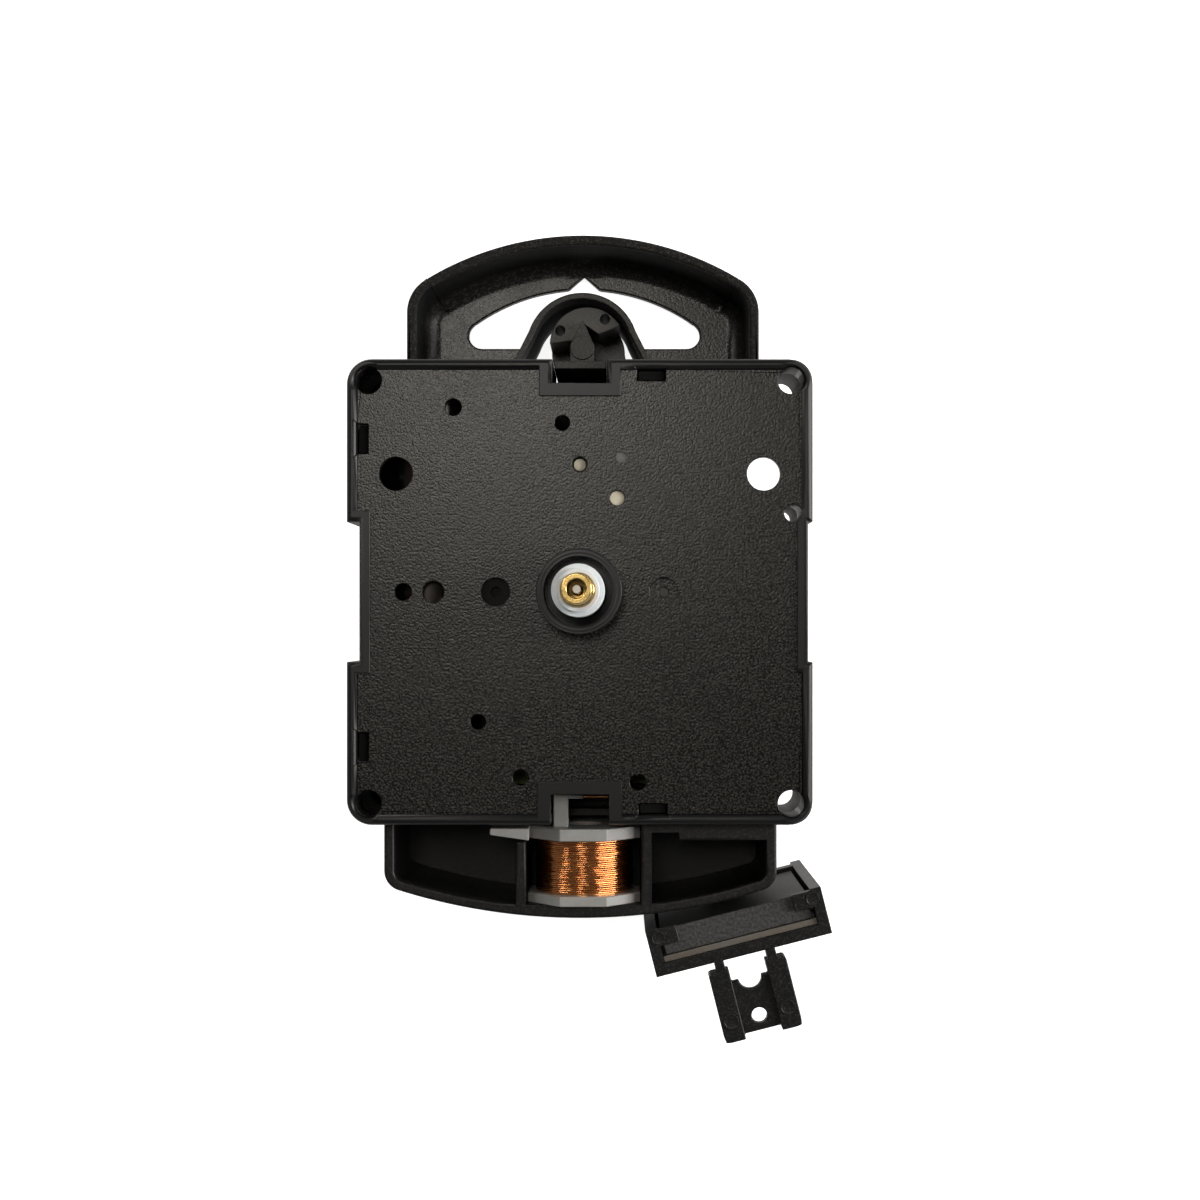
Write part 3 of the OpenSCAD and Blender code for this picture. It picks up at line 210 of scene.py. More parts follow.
def across(mesh, face, sharp):
    """How far a face runs from each of its edges to its next sharp edge, in millimetres."""
    corners = np.array([mesh.vertices[i].co for i in face.vertices]) * 1000
    along = np.roll(corners, -1, axis=0) - corners
    length = np.linalg.norm(along, axis=1)
    right = along[0] / length[0]
    up = np.cross(np.array(face.normal), right)
    start = np.stack((corners @ right, corners @ up), axis=1)
    run = np.stack((along @ right, along @ up), axis=1)
    inward = np.stack((-run[:, 1], run[:, 0]), axis=1) / length[:, None]
    gap = start[None] - (start + run / 2)[:, None]
    turn = inward[:, None, 0] * run[None, :, 1] - inward[:, None, 1] * run[None, :, 0]
    # Edges that run alike never meet, so their turn is kept off zero
    least_turn, far = 1e-9, 1000
    turn[abs(turn) < least_turn] = least_turn
    reach = (gap[..., 0] * run[None, :, 1] - gap[..., 1] * run[None, :, 0]) / turn
    part = (gap[..., 0] * inward[:, None, 1] - gap[..., 1] * inward[:, None, 0]) / turn
    met = (part >= 0) & (part <= 1) & (reach > 1e-3) & np.array(sharp)[None]
    return np.where(met, reach, far).min(axis=1)


def softened(node, finish, width, rounding=None, steps=3):
    """A copy of a CAD node with its edges rounded, which then stands for the node.

    rounding gives an edge's own width from its middle, its two faces' normals and whether it is an
    outer edge. A rounding never takes more than its share of the face beside it.
    """
    source = frame["nodes"][node]
    bpy.ops.object.select_all(action="DESELECT")
    piece = bpy.data.objects.new(node + "_rounded", source.data.copy())
    bpy.context.scene.collection.objects.link(piece)
    bpy.context.view_layer.objects.active = piece
    piece.select_set(True)
    bpy.ops.mesh.customdata_custom_splitnormals_clear()
    bpy.ops.object.mode_set(mode="EDIT")
    bpy.ops.mesh.select_all(action="SELECT")
    bpy.ops.mesh.remove_doubles(threshold=2e-6)
    bpy.ops.mesh.dissolve_limited(angle_limit=math.radians(0.4))
    bpy.ops.mesh.quads_convert_to_tris(quad_method="BEAUTY", ngon_method="BEAUTY")
    bpy.ops.object.mode_set(mode="OBJECT")
    mesh = piece.data
    sharp_from = math.radians(35)
    sides = {}
    for face in mesh.polygons:
        order = list(face.vertices)
        for first, second in zip(order, order[1:] + order[:1]):
            sides.setdefault((min(first, second), max(first, second)), []).append((face, first < second))
    widths = {}
    for key, both in sides.items():
        (one, ahead), (other, _) = both
        if one.normal.angle(other.normal, 0) < sharp_from:
            continue
        low, high = (mesh.vertices[i].co for i in key)
        run = high - low if ahead else low - high
        outward = one.normal.cross(other.normal).dot(run) > 0
        own = width if outward else 0.0
        if rounding is not None:
            middle = (low + high) / 2 * 1000
            own = rounding(middle, one.normal, other.normal, outward, own)
        widths[key] = own
    share_of_face = 0.42
    for face in mesh.polygons:
        keys = face.edge_keys
        room = across(mesh, face, [key in widths for key in keys])
        for key, free in zip(keys, room):
            if key in widths:
                widths[key] = min(widths[key], share_of_face * float(free))
    widest = max(widths.values())
    weight = mesh.attributes.new("bevel_weight_edge", "FLOAT", "EDGE")
    for edge in mesh.edges:
        weight.data[edge.index].value = widths.get(tuple(sorted(edge.vertices)), 0.0) / widest
    bpy.ops.object.shade_smooth_by_angle(angle=math.radians(32))
    bevel = piece.modifiers.new("Rounded edges", "BEVEL")
    bevel.limit_method = "WEIGHT"
    bevel.width = widest / 1000
    bevel.segments = steps
    bevel.use_clamp_overlap = False
    bevel.loop_slide = False
    bevel.harden_normals = True
    bpy.ops.object.modifier_apply(modifier=bevel.name)
    # A corner whose normal came out far from its face's takes the face's own
    mesh = piece.data
    least_match = 0.64
    normals = [corner.vector.copy() for corner in mesh.corner_normals]
    for face in mesh.polygons:
        for i in face.loop_indices:
            if normals[i].dot(face.normal) < least_match:
                normals[i] = face.normal.copy()
    mesh.normals_split_custom_set(normals)
    finish.cover(piece)
    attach(piece, source["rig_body"])
    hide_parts(node)


housing_black = black_plastic(
    "Housing black", (0.006, 0.006, 0.006), (0.03, 0.028, 0.024), 0.22, 0.5, 0.02
)
# Painted shade: the snap tongues' tops, seen down the latch slots, and what is seen down the left corner
# holes are painted black and made rougher
corner_hole = 25.4
shade_r = 2.2
tongue_z = -4.2
housing_place = in_millimetres(housing_black)
housing_z = axis(housing_black, housing_place, 2)
tongue = between(housing_black, housing_z, tongue_z, tongue_z + 0.2)
shaded_corner_holes = spot(housing_black, housing_place, -corner_hole, corner_hole, shade_r) + spot(
    housing_black, housing_place, -corner_hole, -corner_hole, shade_r
)
painted_shade_mask = tongue.maths("MAXIMUM", tongue, shaded_corner_holes)
housing_black.feed("Base Color", tint(housing_black, painted_shade_mask, housing_black.tone, (0.0, 0.0, 0.0)))
housing_black.feed("Roughness", housing_black.rough + 0.45 * painted_shade_mask)
softened("rear_housing", housing_black, 0.12)

# Train bridge and wheels.
# The bridge carries the back pivots of the gear train. It and the wheels are moulded in cream
# acetal, and the wheels run on their own moulded arbors.
cream = Finish("Cream acetal", {"Subsurface Weight": 0.1, "Subsurface Scale": 0.0006})
cream_place = in_millimetres(cream)
cream_flow = speckle(cream, cream_place, 1.6, 4.0)
cream_tone = tint(cream, cream_flow, (0.62, 0.55, 0.4), (0.8, 0.74, 0.6))
# Painted shade: the third wheel's pivot end, seen down its hole in the cover, is painted near black
pivot_shade_x, pivot_shade_z = 9.4, -1.8
pivot_shade = between(cream, axis(cream, cream_place, 0), pivot_shade_x, pivot_shade_x + 0.1) * between(
    cream, axis(cream, cream_place, 2), pivot_shade_z, pivot_shade_z + 0.1
)
cream.feed("Base Color", tint(cream, pivot_shade, cream_tone, (0.012, 0.011, 0.01)))
cream.feed("Roughness", 0.3 + 0.2 * cream_flow)
relief(cream, speckle(cream, cream_place, 0.3), 0.01)
for name in (
    "train_bridge", "rotor_pinion", "intermediate_wheel", "second_wheel", "third_wheel",
    "minute_wheel", "motion_wheel",
):
    cream.cover(frame["nodes"][name])

# Stepping motor.
# A magnet turns in the stamped iron stator, and a coil on a plastic bobbin drives it.
# The stator stands on two posts of the train bridge.
steel = Finish("Bright steel", {"Metallic": 1.0})
steel_place = in_millimetres(steel)
steel_grain = speckle(
    steel,
    steel.add("ShaderNodeMapping", {}, {"Vector": steel_place, "Scale": (0.4, 6, 6)}),
    0.5,
    4.0,
)
steel.feed("Base Color", tint(steel, steel_grain, (0.3, 0.28, 0.25), (0.56, 0.54, 0.5)))
steel.feed("Roughness", 0.22 + 0.25 * steel_grain)
relief(steel, steel_grain, 0.008)
for name in ("stator", "quartz_crystal", "positive_contact", "negative_contact", "second_shaft"):
    steel.cover(frame["nodes"][name])

magnet_grey = Finish("Ferrite", {"Specular IOR Level": 0.4})
magnet_place = in_millimetres(magnet_grey)
magnet_grain = speckle(magnet_grey, magnet_place, 0.35, 5.0)
magnet_share = between(magnet_grey, magnet_grain, 0.35, 0.75)
magnet_grey.feed(
    "Base Color", tint(magnet_grey, magnet_share, (0.02, 0.02, 0.021), (0.075, 0.073, 0.07))
)
magnet_grey.feed("Roughness", 0.35 + 0.3 * magnet_grain)
relief(magnet_grey, magnet_grain, 0.03)
magnet_grey.cover(frame["nodes"]["rotor_magnet"])

milky = Finish("Milky plastic", {"Subsurface Weight": 0.25, "Subsurface Scale": 0.0008})
milky_place = in_millimetres(milky)
milky_flow = speckle(milky, milky_place, 2.4, 3.0)
milky.feed("Base Color", tint(milky, milky_flow, (0.25, 0.25, 0.235), (0.36, 0.36, 0.35)))
milky.feed("Roughness", 0.28 + 0.2 * milky_flow)
relief(milky, speckle(milky, milky_place, 0.25), 0.012)
milky.cover(frame["nodes"]["motor_bobbin"])

copper = Finish("Enamelled copper", {"Metallic": 1.0, "Coat Weight": 1.0})
copper_place = in_millimetres(copper)
copper_tone = speckle(
    copper,
    copper.add("ShaderNodeMapping", {}, {"Vector": copper_place, "Scale": (0.5, 5, 0.5)}),
    0.8,
    3.0,
)
copper.feed("Base Color", tint(copper, copper_tone, (0.6, 0.2, 0.05), (0.95, 0.44, 0.14)))
copper.feed("Roughness", 0.12 + 0.14 * copper_tone)
relief(copper, copper_tone, 0.01)
for name in ("motor_winding", "coil_leads", "coil_core"):
    copper.cover(frame["nodes"][name])

# Circuit.
# A small lacquered board at the bottom of the housing carries the chip under its black resin and
# the quartz crystal in its steel can.
board_green = Finish("Board lacquer", {"Coat Weight": 0.5})
board_place = in_millimetres(board_green)
board_weave = board_green.add(
    "ShaderNodeTexBrick",
    {},
    {"Vector": board_place, "Scale": 1.2, "Mortar Size": 0.06, "Color1": (0.02, 0.13, 0.05, 1),
     "Color2": (0.025, 0.16, 0.06, 1), "Mortar": (0.35, 0.3, 0.12, 1)},
    "Color",
)
board_green.feed("Base Color", board_weave)
board_green.feed("Roughness", 0.25 + 0.2 * speckle(board_green, board_place, 0.4))
board_green.cover(frame["nodes"]["circuit_board"])

resin = black_plastic("Chip resin", (0.008, 0.008, 0.009), (0.03, 0.03, 0.03), 0.12, 0.4, 0.01)
resin.cover(frame["nodes"]["chip"])

# Dry cell.
# An AA cell lies behind the left side of the front cover. Its steel can has a dark printed film,
# bare at the two ends.
cell_shell = Finish("Cell film and can", {})
cell_place = in_millimetres(cell_shell)
cell_x, cell_y, cell_z = (axis(cell_shell, cell_place, i) for i in range(3))
cell_low, cell_high = (corner[1] * 1000 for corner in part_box("battery"))
film_low, film_high, band_low = cell_low + 1.1, cell_high - 2.3, cell_high - 14.0
band_front, brown_from = -8.4, -21.35
film = between(cell_shell, cell_y, film_low, film_low + 0.1) * between(
    cell_shell, cell_y, film_high, film_high - 0.1
)
top_end = between(cell_shell, cell_y, band_low, band_low + 0.1)
behind = between(cell_shell, cell_z, band_front, band_front - 0.2)
brown_edge = between(cell_shell, cell_x, brown_from, brown_from + 0.1) * (1 - behind)
dark_print = tint(cell_shell, brown_edge, (0.002, 0.002, 0.0022), (0.014, 0.008, 0.005))
print_tone = tint(cell_shell, top_end * behind, dark_print, (0.5, 0.26, 0.09))
can_grain = speckle(cell_shell, cell_place, 0.6, 3.0)
can_tone = tint(cell_shell, can_grain, (0.4, 0.4, 0.4), (0.6, 0.6, 0.6))
cell_shell.feed("Base Color", tint(cell_shell, film, can_tone, print_tone))
cell_shell.feed("Metallic", 1 - 0.6 * film)
cell_shell.feed("Roughness", 0.2 + 0.2 * speckle(cell_shell, cell_place, 3.0, 3.0))
softened("battery", cell_shell, 0.5)

# Back frame.
# One black moulding holds the housing: a ribbed plate, the hanger with its dome above it and the
# coil housing below it. The post inside the dome carries the knife edge for the pendulum.
frame_black = black_plastic(
    "Frame black", (0.006, 0.006, 0.006), (0.035, 0.031, 0.026), 0.3, 0.42, 0.03
)
softened("frame_plate", frame_black, 0.15)

hanger_black = black_plastic(
    "Hanger black", (0.007, 0.007, 0.0065), (0.05, 0.046, 0.038), 0.3, 0.38, 0.03
)
hanger_place = in_millimetres(hanger_black)
# Ejector marks in the hanger's floor
mark_places = ((-18.53, 37.79), (-4.7, 43.13), (4.58, 43.84), (18.25, 38.2))
mark_radius = 1.3
mark_line = 0.12
marks = [spot(hanger_black, hanger_place, x, y, mark_radius) for x, y in mark_places]
cores = [spot(hanger_black, hanger_place, x, y, mark_radius - mark_line) for x, y in mark_places]
rim_z, floor_z = -20.0, -30.5
hanger_z = axis(hanger_black, hanger_place, 2)
on_floor = between(hanger_black, hanger_z, floor_z + 0.2, floor_z + 0.1)
pale_marks = (marks[0] + marks[1]) * on_floor
dark_marks = (marks[2] + marks[3]) * on_floor
ring_lines = (sum(marks[1:], marks[0]) - sum(cores[1:], cores[0])) * on_floor
hanger_tone = tint(hanger_black, 0.35 * pale_marks, hanger_black.tone, (0.06, 0.056, 0.048))
hanger_tone = tint(hanger_black, 0.6 * dark_marks, hanger_tone, (0.004, 0.004, 0.004))
hanger_tone = tint(hanger_black, 0.8 * ring_lines, hanger_tone, (0.0, 0.0, 0.0))
# The upright walls are painted near black as shade, with a little dust on them, and made rougher; the
# floor is grained and the rim made rough
upright = between(hanger_black, hanger_z, floor_z + 0.9, floor_z + 1.9) * between(
    hanger_black, hanger_z, rim_z - 0.3, rim_z - 0.7
)
dust = between(hanger_black, speckle(hanger_black, hanger_place, 0.3, 1.0), 0.74, 0.78)
hanger_tone = tint(hanger_black, upright * (1 - dust), hanger_tone, (0.0015, 0.0015, 0.0018))
hanger_black.feed("Base Color", tint(hanger_black, dust * upright, hanger_tone, (0.2, 0.2, 0.2)))
on_rim = between(hanger_black, hanger_z, rim_z - 0.3, rim_z - 0.1) * between(
    hanger_black, hanger_z, rim_z + 0.2, rim_z + 0.1
)
hanger_black.feed(
    "Roughness", hanger_black.rough - 0.12 * on_floor + 0.25 * upright + 0.55 * on_rim
)


def hanger_edges(middle, one, other, outward, own):
    """The rim is rolled over, and the floor runs up into the wall in a wide curve."""
    case_top = 26
    if outward:
        return 0.45 if middle.z > rim_z - 0.1 else 0.25
    return 2.4 if abs(middle.z - floor_z) < 0.05 and middle.y > case_top else 0.0


softened("hanger", hanger_black, 0.12, hanger_edges, 5)
softened("dome", hanger_black, 0.2)
softened("pivot_post", hanger_black, 0.08)


def box_edges(middle, one, other, outward, own):
    """The coil housing's front edges are rounded more than the rest."""
    return 0.35 if outward and max(one.z, other.z) > 0.9 else own


box_black = black_plastic(
    "Coil housing black", (0.004, 0.004, 0.004), (0.02, 0.018, 0.015), 0.3, 0.42, 0.02
)
# Painted shade: below the housing's front edge the wells are painted near black
box_z = axis(box_black, in_millimetres(box_black), 2)
well_shade = between(box_black, box_z, -4.6, -6.0)
box_black.feed("Base Color", tint(box_black, well_shade, box_black.tone, (0.001, 0.001, 0.001)))
softened("coil_housing", box_black, 0.12, box_edges)

# Pendulum coil.
# Fine enamelled copper wire, wound on a milky plastic bobbin with eight-sided flanges. The turns lie
# side by side with small gaps and crossings, and the bobbin stands in the coil housing.
softened("coil_bobbin", milky, 0.15)

core_low, core_high = (corner * 1000 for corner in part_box("coil_core"))
wire_thick = 0.25
wire_pitch = 0.235
wire_turns = int((core_high.y - core_low.y - wire_thick) / wire_pitch)
wire_reach = (core_high.x - core_low.x) / 2 + wire_thick * 0.35
coil_middle = (core_low + core_high) / 2
bpy.ops.object.select_all(action="DESELECT")
bpy.ops.mesh.primitive_circle_add(
    vertices=6, radius=wire_thick / 2 / 1000, location=(wire_reach / 1000, 0, 0)
)
winding = bpy.context.object
winding.name = "coil_turns"
bpy.ops.object.transform_apply(location=True, rotation=True, scale=True)
screw = winding.modifiers.new("Turns", "SCREW")
screw.axis = "Y"
screw.angle = 2 * math.pi
screw.screw_offset = wire_pitch / 1000
screw.iterations = wire_turns
screw.steps = screw.render_steps = 80
screw.use_merge_vertices = False
bpy.ops.object.modifier_apply(modifier=screw.name)
# Each turn lies a little in or out of line, by two sizes of noise, and slips a little sideways
coarse_push, fine_push, sideways = 0.13, 0.05, 0.05
low_turn = core_low.y + wire_thick / 2
for vertex in winding.data.vertices:
    along = vertex.co.y * 1000
    angle = math.atan2(vertex.co.z, vertex.co.x)
    turn = along / wire_pitch
    round_point = Vector((math.cos(angle), math.sin(angle), round(turn) * 1.7))
    push = coarse_push * noise.noise(round_point * 2.3)
    push += fine_push * noise.noise(round_point * 5.1)
    slip = sideways * noise.noise(round_point * 1.9 + Vector((7, 3, 5)))
    stretch = 1 + push / wire_reach
    vertex.co.x *= stretch
    vertex.co.z *= stretch
    vertex.co.y += slip / 1000
winding.data.transform(
    Matrix.Translation((coil_middle.x / 1000, low_turn / 1000, coil_middle.z / 1000))
)
bpy.ops.object.mode_set(mode="EDIT")
bpy.ops.mesh.select_all(action="SELECT")
bpy.ops.mesh.normals_make_consistent(inside=False)
bpy.ops.object.mode_set(mode="OBJECT")
bpy.ops.object.shade_smooth()
copper.cover(winding)
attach(winding, "movement")
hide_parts("coil_winding")

# Front cover.
# The front half of the housing, moulded in black plastic: a smooth rounded rim round a sunk field
# with a coarse spark-eroded grain, holes for pins and tools, and the fixing bush in the middle. It
# snaps on the rear housing's tongues.
cover_black = Finish("Cover black", {"Specular IOR Level": 0.35})
cover_place = in_millimetres(cover_black)
cover_z = axis(cover_black, cover_place, 2)
cover_aside = cover_black.add("ShaderNodeVectorMath", {"operation": "ABSOLUTE"}, {0: cover_place})
cover_reach = axis(cover_black, cover_aside, 0).maths(
    "MAXIMUM", axis(cover_black, cover_aside, 0), axis(cover_black, cover_aside, 1)
)
field_z, field_reach = -0.22, 26.75
field = between(cover_black, cover_z, field_z, field_z - 0.05) * between(
    cover_black, cover_reach, field_reach, field_reach - 0.1
)
cover_grain = speckle(cover_black, cover_place, 0.26, 1.6)
cover_speck = between(cover_black, cover_grain, 0.42, 0.62)
cover_cloud = speckle(cover_black, cover_place, 12.0, 3.0)
field_tone = tint(cover_black, cover_speck, (0.001, 0.0009, 0.0008), (0.022, 0.0205, 0.017))
cover_tone = tint(cover_black, field, (0.006, 0.006, 0.0065), field_tone)
# A pale pad, a dark mark, painted shade in the left recess beside the bush, and a brownish grey tint in
# the right one
pale_pad, dark_mark = (5, 16.2), (-7.6, -15.6)
recess_x, recess_r = 10.1, 1.7
for mark_x, mark_y, mark_r, mark_share, mark_tone in (
    (*pale_pad, 0.64, 0.9, (0.11, 0.108, 0.1)),
    (*dark_mark, 0.7, 0.8, (0.004, 0.004, 0.004)),
    (-recess_x, 0, recess_r, 0.85, (0.002, 0.002, 0.002)),
    (recess_x, 0, recess_r, 0.4, (0.02, 0.018, 0.014)),
):
    mark = spot(cover_black, cover_place, mark_x, mark_y, mark_r)
    cover_tone = tint(cover_black, mark_share * mark, cover_tone, mark_tone)
# Painted shade: the walls of the left corner holes are painted black and made rougher
corner_hole_r, hole_z = 1.75, -1.0
in_hole = between(cover_black, cover_z, hole_z, hole_z - 0.2)
corner_holes = spot(cover_black, cover_place, -corner_hole, corner_hole, corner_hole_r) + spot(
    cover_black, cover_place, -corner_hole, -corner_hole, corner_hole_r
)
cover_tone = tint(cover_black, corner_holes * in_hole, cover_tone, (0.0, 0.0, 0.0))
cover_black.feed("Base Color", cover_tone)
left_recess = spot(cover_black, cover_place, -recess_x, 0, recess_r)
cover_black.feed(
    "Roughness",
    0.36 - 0.13 * field + 0.04 * (cover_cloud - 0.5) + 0.06 * (field * cover_speck)
    + 0.6 * (corner_holes * in_hole) + 0.5 * left_recess,
)
# Turned rings on the bush, about 0.45 mm apart
bush_flat = cover_black.add(
    "ShaderNodeVectorMath", {"operation": "MULTIPLY"}, {0: cover_place, 1: (1, 1, 0)}
)
bush_away = cover_black.add("ShaderNodeVectorMath", {"operation": "LENGTH"}, {0: bush_flat}, 1)
ring_phase = bush_away * 14
bush_rings = ring_phase.maths("SINE", ring_phase) * between(cover_black, cover_z, 0.1, 0.2)
relief(cover_black, cover_grain * (0.1 + field) + 0.2 * bush_rings, 0.033)


def cover_edges(middle, one, other, outward, own):
    """The rim's outer edge is well rounded. The grip hole and the shallow marks are sharp."""
    for x, y, reach in ((25.9, 8.4, 1.6), (*pale_pad, 0.9), (*dark_mark, 0.9)):
        if math.hypot(middle.x - x, middle.y - y) < reach:
            return 0.0
    rim_from = 26.3
    on_top = max(abs(middle.x), abs(middle.y)) > rim_from and middle.z > -0.1
    faces_aside = max(abs(one.x), abs(one.y), abs(other.x), abs(other.y)) > 0.3
    return 0.6 if outward and on_top and faces_aside else own


softened("front_cover", cover_black, 0.1, cover_edges)

# Pin hole plug.
# The pale end of a cream acetal pin, seen in the hole above the shafts. Only this end shows, so it
# is made as a short plug, which stands clear of the hole's wall.
plug_y, plug_front, plug_length, plug_r = 15.35, -1.2, 0.8, 0.74
bpy.ops.object.select_all(action="DESELECT")
bpy.ops.mesh.primitive_cylinder_add(
    vertices=48, radius=plug_r / 1000, depth=plug_length / 1000,
    location=(0, plug_y / 1000, (plug_front - plug_length / 2) / 1000),
)
plug = bpy.context.object
plug.name = "pin_hole_plug"
bpy.ops.object.transform_apply(location=True, rotation=True, scale=True)
plug_edge = plug.modifiers.new("Edge", "BEVEL")
plug_edge.width = 0.08 / 1000
plug_edge.segments = 2
bpy.ops.object.modifier_apply(modifier=plug_edge.name)
bpy.ops.object.shade_smooth_by_angle(angle=math.radians(40))
cream.cover(plug)
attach(plug, "movement")

# Hand shafts.
# The white acetal hour tube carries the hour hand, the turned brass tube inside it the minute hand,
# and the steel shaft in the middle drives the second hand.
white_tube = Finish("White acetal", {"Subsurface Weight": 0.2, "Subsurface Scale": 0.0006})
white_place = in_millimetres(white_tube)
white_flow = speckle(white_tube, white_place, 0.9, 3.0)
white_tube.feed("Base Color", tint(white_tube, white_flow, (0.62, 0.66, 0.68), (0.76, 0.8, 0.82)))
white_tube.feed("Roughness", 0.25 + 0.2 * white_flow)
relief(white_tube, speckle(white_tube, white_place, 0.2), 0.01)
softened("hour_wheel", white_tube, 0.12)

brass = Finish("Turned brass", {"Metallic": 1.0})
brass_place = in_millimetres(brass)
brass_turned = brass.add(
    "ShaderNodeMapping", {}, {"Vector": brass_place, "Scale": (0.5, 0.5, 12)}
)
brass_rings = speckle(brass, brass_turned, 0.6, 3.0)
brass.feed("Base Color", tint(brass, brass_rings, (0.62, 0.4, 0.12), (0.9, 0.66, 0.26)))
brass.feed("Roughness", 0.14 + 0.14 * brass_rings)
relief(brass, brass_rings, 0.006)
softened("minute_tube", brass, 0.14)

# Setting knob.
# A grooved knob turns the hands from the back. It is moulded in black plastic and pressed on the
# motion wheel's arbor.
knob_black = black_plastic(
    "Knob black", (0.008, 0.008, 0.008), (0.03, 0.03, 0.028), 0.2, 0.4, 0.015
)
softened("setting_knob", knob_black, 0.06)

# Pendulum.
# The swinging arm hangs on the knife edge by the notch in its round head. Its tray holds the ferrite
# magnet on a steel strip, and the hook below takes the pendulum rod.
arm_black = black_plastic(
    "Arm black", (0.006, 0.006, 0.0065), (0.028, 0.027, 0.025), 0.22, 0.36, 0.02
)
# Painted light: the round head is painted a lighter brownish grey than the tray, as if lit
arm_place = in_millimetres(arm_black)
on_head = between(arm_black, axis(arm_black, arm_place, 1), 24, 26)
painted_lit_head_tone = tint(
    arm_black, speckle(arm_black, arm_place, 0.3), (0.02, 0.019, 0.017), (0.055, 0.051, 0.045)
)
arm_black.feed("Base Color", tint(arm_black, on_head, arm_black.tone, painted_lit_head_tone))
softened("pendulum_arm", arm_black, 0.1)
pivot = Vector((0, 35, 0))
swung = 14.2
hang = Matrix.Rotation(math.radians(swung), 3, "Z")


def hook_edges(middle, one, other, outward, own):
    """The rails' outer ends are well rounded."""
    if not outward or max(abs(one.z), abs(other.z)) > 0.1:
        return own
    across_arm, down, _ = (hang.inverted() @ (middle - pivot)) * -1
    rail_outside, rail_end = 4.6, 90
    if abs(across_arm) < rail_outside:
        return own
    return 1.1 if down > rail_end else 0.5


softened("rod_hook", arm_black, 0.15, hook_edges)


def boss(name, aside, down, front, radius, height):
    """A low round boss, moulded on the pendulum. Aside and down are measured from its pivot."""
    place = pivot + hang @ Vector((aside, -down, 0))
    sunk, dish = 0.3, 0.3 * height
    rim_width, rim_slope = 0.16 * radius, 0.05 * radius
    bpy.ops.object.select_all(action="DESELECT")
    bpy.ops.mesh.primitive_cylinder_add(
        vertices=40, radius=radius / 1000, depth=(height + sunk) / 1000,
        location=(place.x / 1000, place.y / 1000, (front + height / 2 - sunk / 2) / 1000),
    )
    piece = bpy.context.object
    piece.name = name
    bpy.ops.object.transform_apply(location=True, rotation=True, scale=True)
    bpy.ops.object.mode_set(mode="EDIT")
    bpy.ops.mesh.select_all(action="DESELECT")
    bpy.ops.object.mode_set(mode="OBJECT")
    for face in piece.data.polygons:
        face.select = face.normal.z > 0.9
    bpy.ops.object.mode_set(mode="EDIT")
    bpy.ops.mesh.inset(thickness=rim_width / 1000)
    bpy.ops.mesh.inset(thickness=rim_slope / 1000)
    bpy.ops.transform.translate(value=(0, 0, -dish / 1000))
    bpy.ops.mesh.select_all(action="SELECT")
    bpy.ops.object.mode_set(mode="OBJECT")
    edge = piece.modifiers.new("Edge", "BEVEL")
    edge.width = 0.25 * height / 1000
    edge.segments = 2
    bpy.ops.object.modifier_apply(modifier=edge.name)
    bpy.ops.object.shade_smooth_by_angle(angle=math.radians(40))
    arm_black.cover(piece)
    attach(piece, "pendulum")


for side, name in ((-1, "left"), (1, "right")):
    boss("hook_boss_" + name, side * 3.6, 89.4, -4.7, 0.95, 0.14)
    boss("clip_boss_" + name, side * 9.75, 77.25, -4.5, 0.85, 0.12)

softened("drive_magnet", magnet_grey, 0.12)
plain_steel = Finish("Plain steel strip", {"Metallic": 1.0})
strip_place = in_millimetres(plain_steel)
strip_grain = speckle(plain_steel, strip_place, 0.5, 4.0)
strip_cloud = speckle(plain_steel, strip_place, 7.0, 2.0)
strip_tone = tint(plain_steel, strip_cloud, (0.2, 0.17, 0.13), (0.24, 0.235, 0.225))
plain_steel.feed("Base Color", tint(plain_steel, 0.5 * strip_grain, strip_tone, (0.1, 0.09, 0.08)))
plain_steel.feed("Roughness", 0.42 + 0.2 * strip_grain)
relief(plain_steel, strip_grain, 0.02)
softened("magnet_yoke", plain_steel, 0.08)

# Stage.
# A pale floor under the movement, a plain studio world that looks white, and three soft lamps. The
# camera stands where the photograph was taken from, above the hand shafts.
bpy.ops.object.select_all(action="DESELECT")
bpy.ops.mesh.primitive_plane_add(size=4, location=(0, 0, cad_low.z - 0.0001))
floor = bpy.context.object
floor.name = "floor"
floor_finish = Finish("Pale floor", {"Base Color": (0.88, 0.88, 0.88, 1), "Roughness": 0.9})
seen = floor_finish.add("ShaderNodeLightPath", {}, {}, "Is Camera Ray")
glossy = floor_finish.add("ShaderNodeLightPath", {}, {}, "Is Glossy Ray")
glow = floor_finish.add(
    "ShaderNodeEmission", {}, {"Color": (1, 1, 1, 1), "Strength": 0.12 * glossy + 0.9 * seen}
)
both = floor_finish.add(
    "ShaderNodeAddShader", {}, {0: Wire(floor_finish, floor_finish.shader.outputs[0]), 1: glow}
)
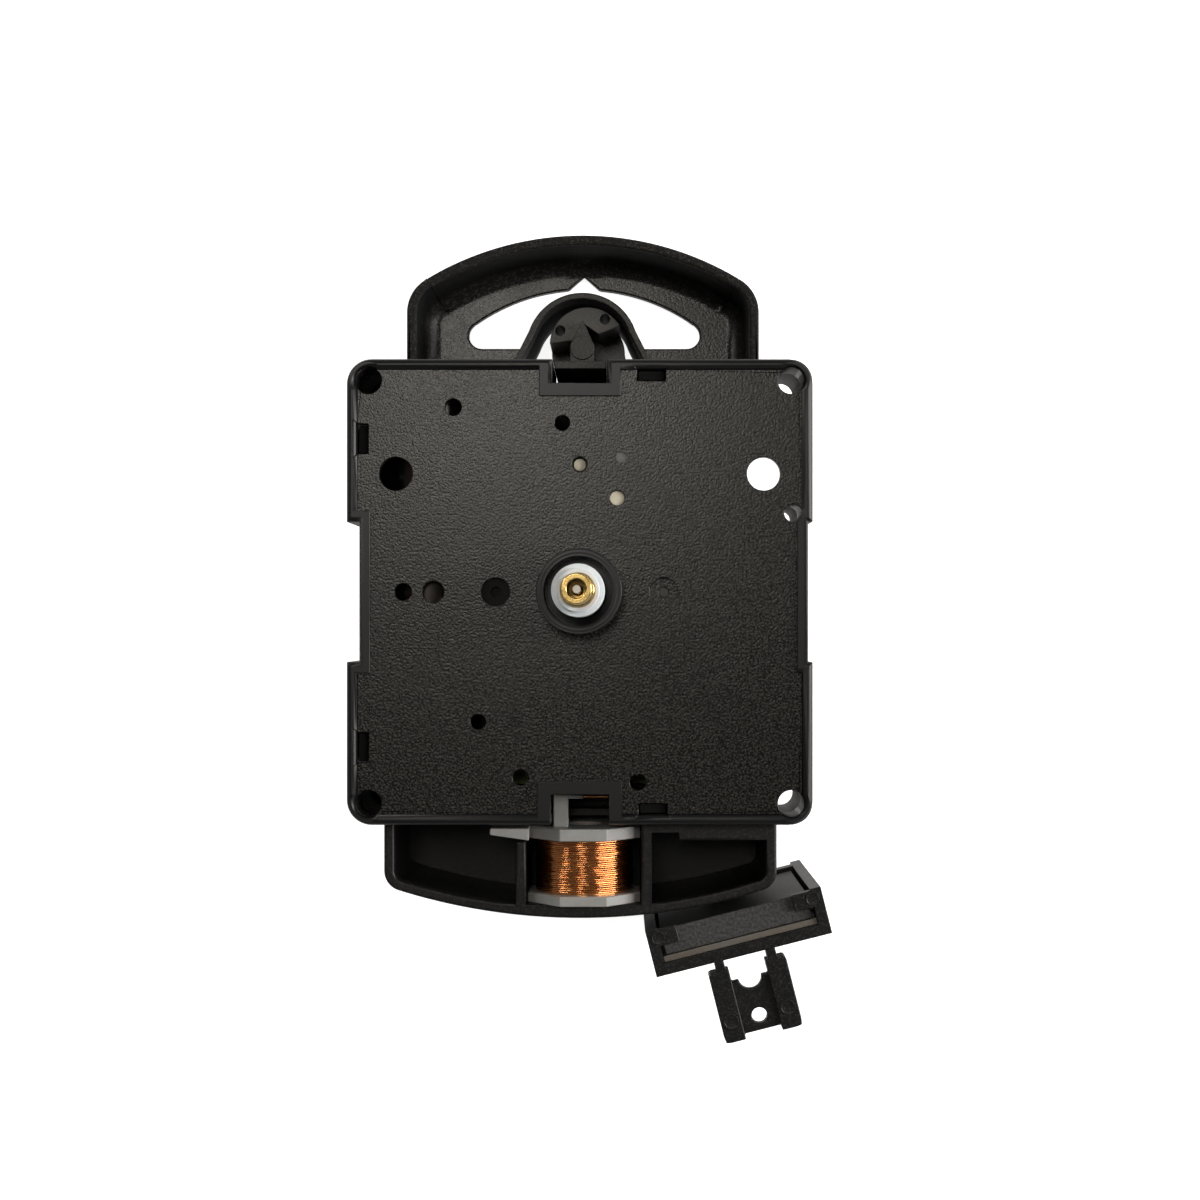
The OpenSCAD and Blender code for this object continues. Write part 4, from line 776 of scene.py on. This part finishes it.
floor_output = floor_finish.tree.nodes["Material Output"]
floor_finish.tree.links.new(both.socket, floor_output.inputs["Surface"])
floor_finish.cover(floor)

world = bpy.data.worlds.new("Studio")
bpy.context.scene.world = world
world.use_nodes = True
sky = Nodes(world.node_tree)
direction = sky.add("ShaderNodeTexCoord", {}, {}, "Generated")
ramp = sky.add(
    "ShaderNodeMapRange",
    {},
    {"Value": axis(sky, direction, 2), "From Min": 0.15, "From Max": 0.7, "To Min": 0.26,
     "To Max": 0.08},
)
sky_seen = sky.add("ShaderNodeLightPath", {}, {}, "Is Camera Ray")
background = sky.tree.nodes["Background"]
sky.tree.links.new(ramp.maths("MAXIMUM", sky_seen, ramp).socket, background.inputs["Strength"])
background.inputs["Color"].default_value = (1, 1, 1, 1)


def lamp(name, aside, ahead, distance, width, length, power, colour):
    """A soft lamp, turned by the two angles from straight above the movement."""
    light = bpy.data.lights.new(name, "AREA")
    light.shape = "RECTANGLE"
    light.size = width
    light.size_y = length
    light.energy = power
    light.color = colour
    lit = bpy.data.objects.new(name, light)
    bpy.context.scene.collection.objects.link(lit)
    a, b = math.radians(aside), math.radians(ahead)
    way = Vector((math.sin(a) * math.cos(b), math.sin(b), math.cos(a) * math.cos(b)))
    lit.location = way * distance
    lit.rotation_euler = way.to_track_quat("Z", "Y").to_euler()


lamp("Lamp right", 63, 4, 0.7, 0.26, 0.8, 6.6, (1, 0.97, 0.94))
lamp("Lamp overhead", -5, 12, 0.8, 0.2, 0.18, 1.0, (1, 0.95, 0.87))
lamp("Lamp far left", -58, 34, 0.7, 0.08, 0.4, 1.2, (1, 0.95, 0.88))

camera = bpy.data.cameras.new("Camera")
camera.lens = 53.8
camera.sensor_width = 36
camera.shift_x = -0.0142
camera.shift_y = 0.0225
camera.clip_start = 0.01
camera.clip_end = 10
seat = bpy.data.objects.new("Camera", camera)
seat.location = (0.00448, -0.0042, 0.215)
bpy.context.scene.collection.objects.link(seat)
bpy.context.scene.camera = seat
bpy.context.scene.view_settings.view_transform = "Standard"
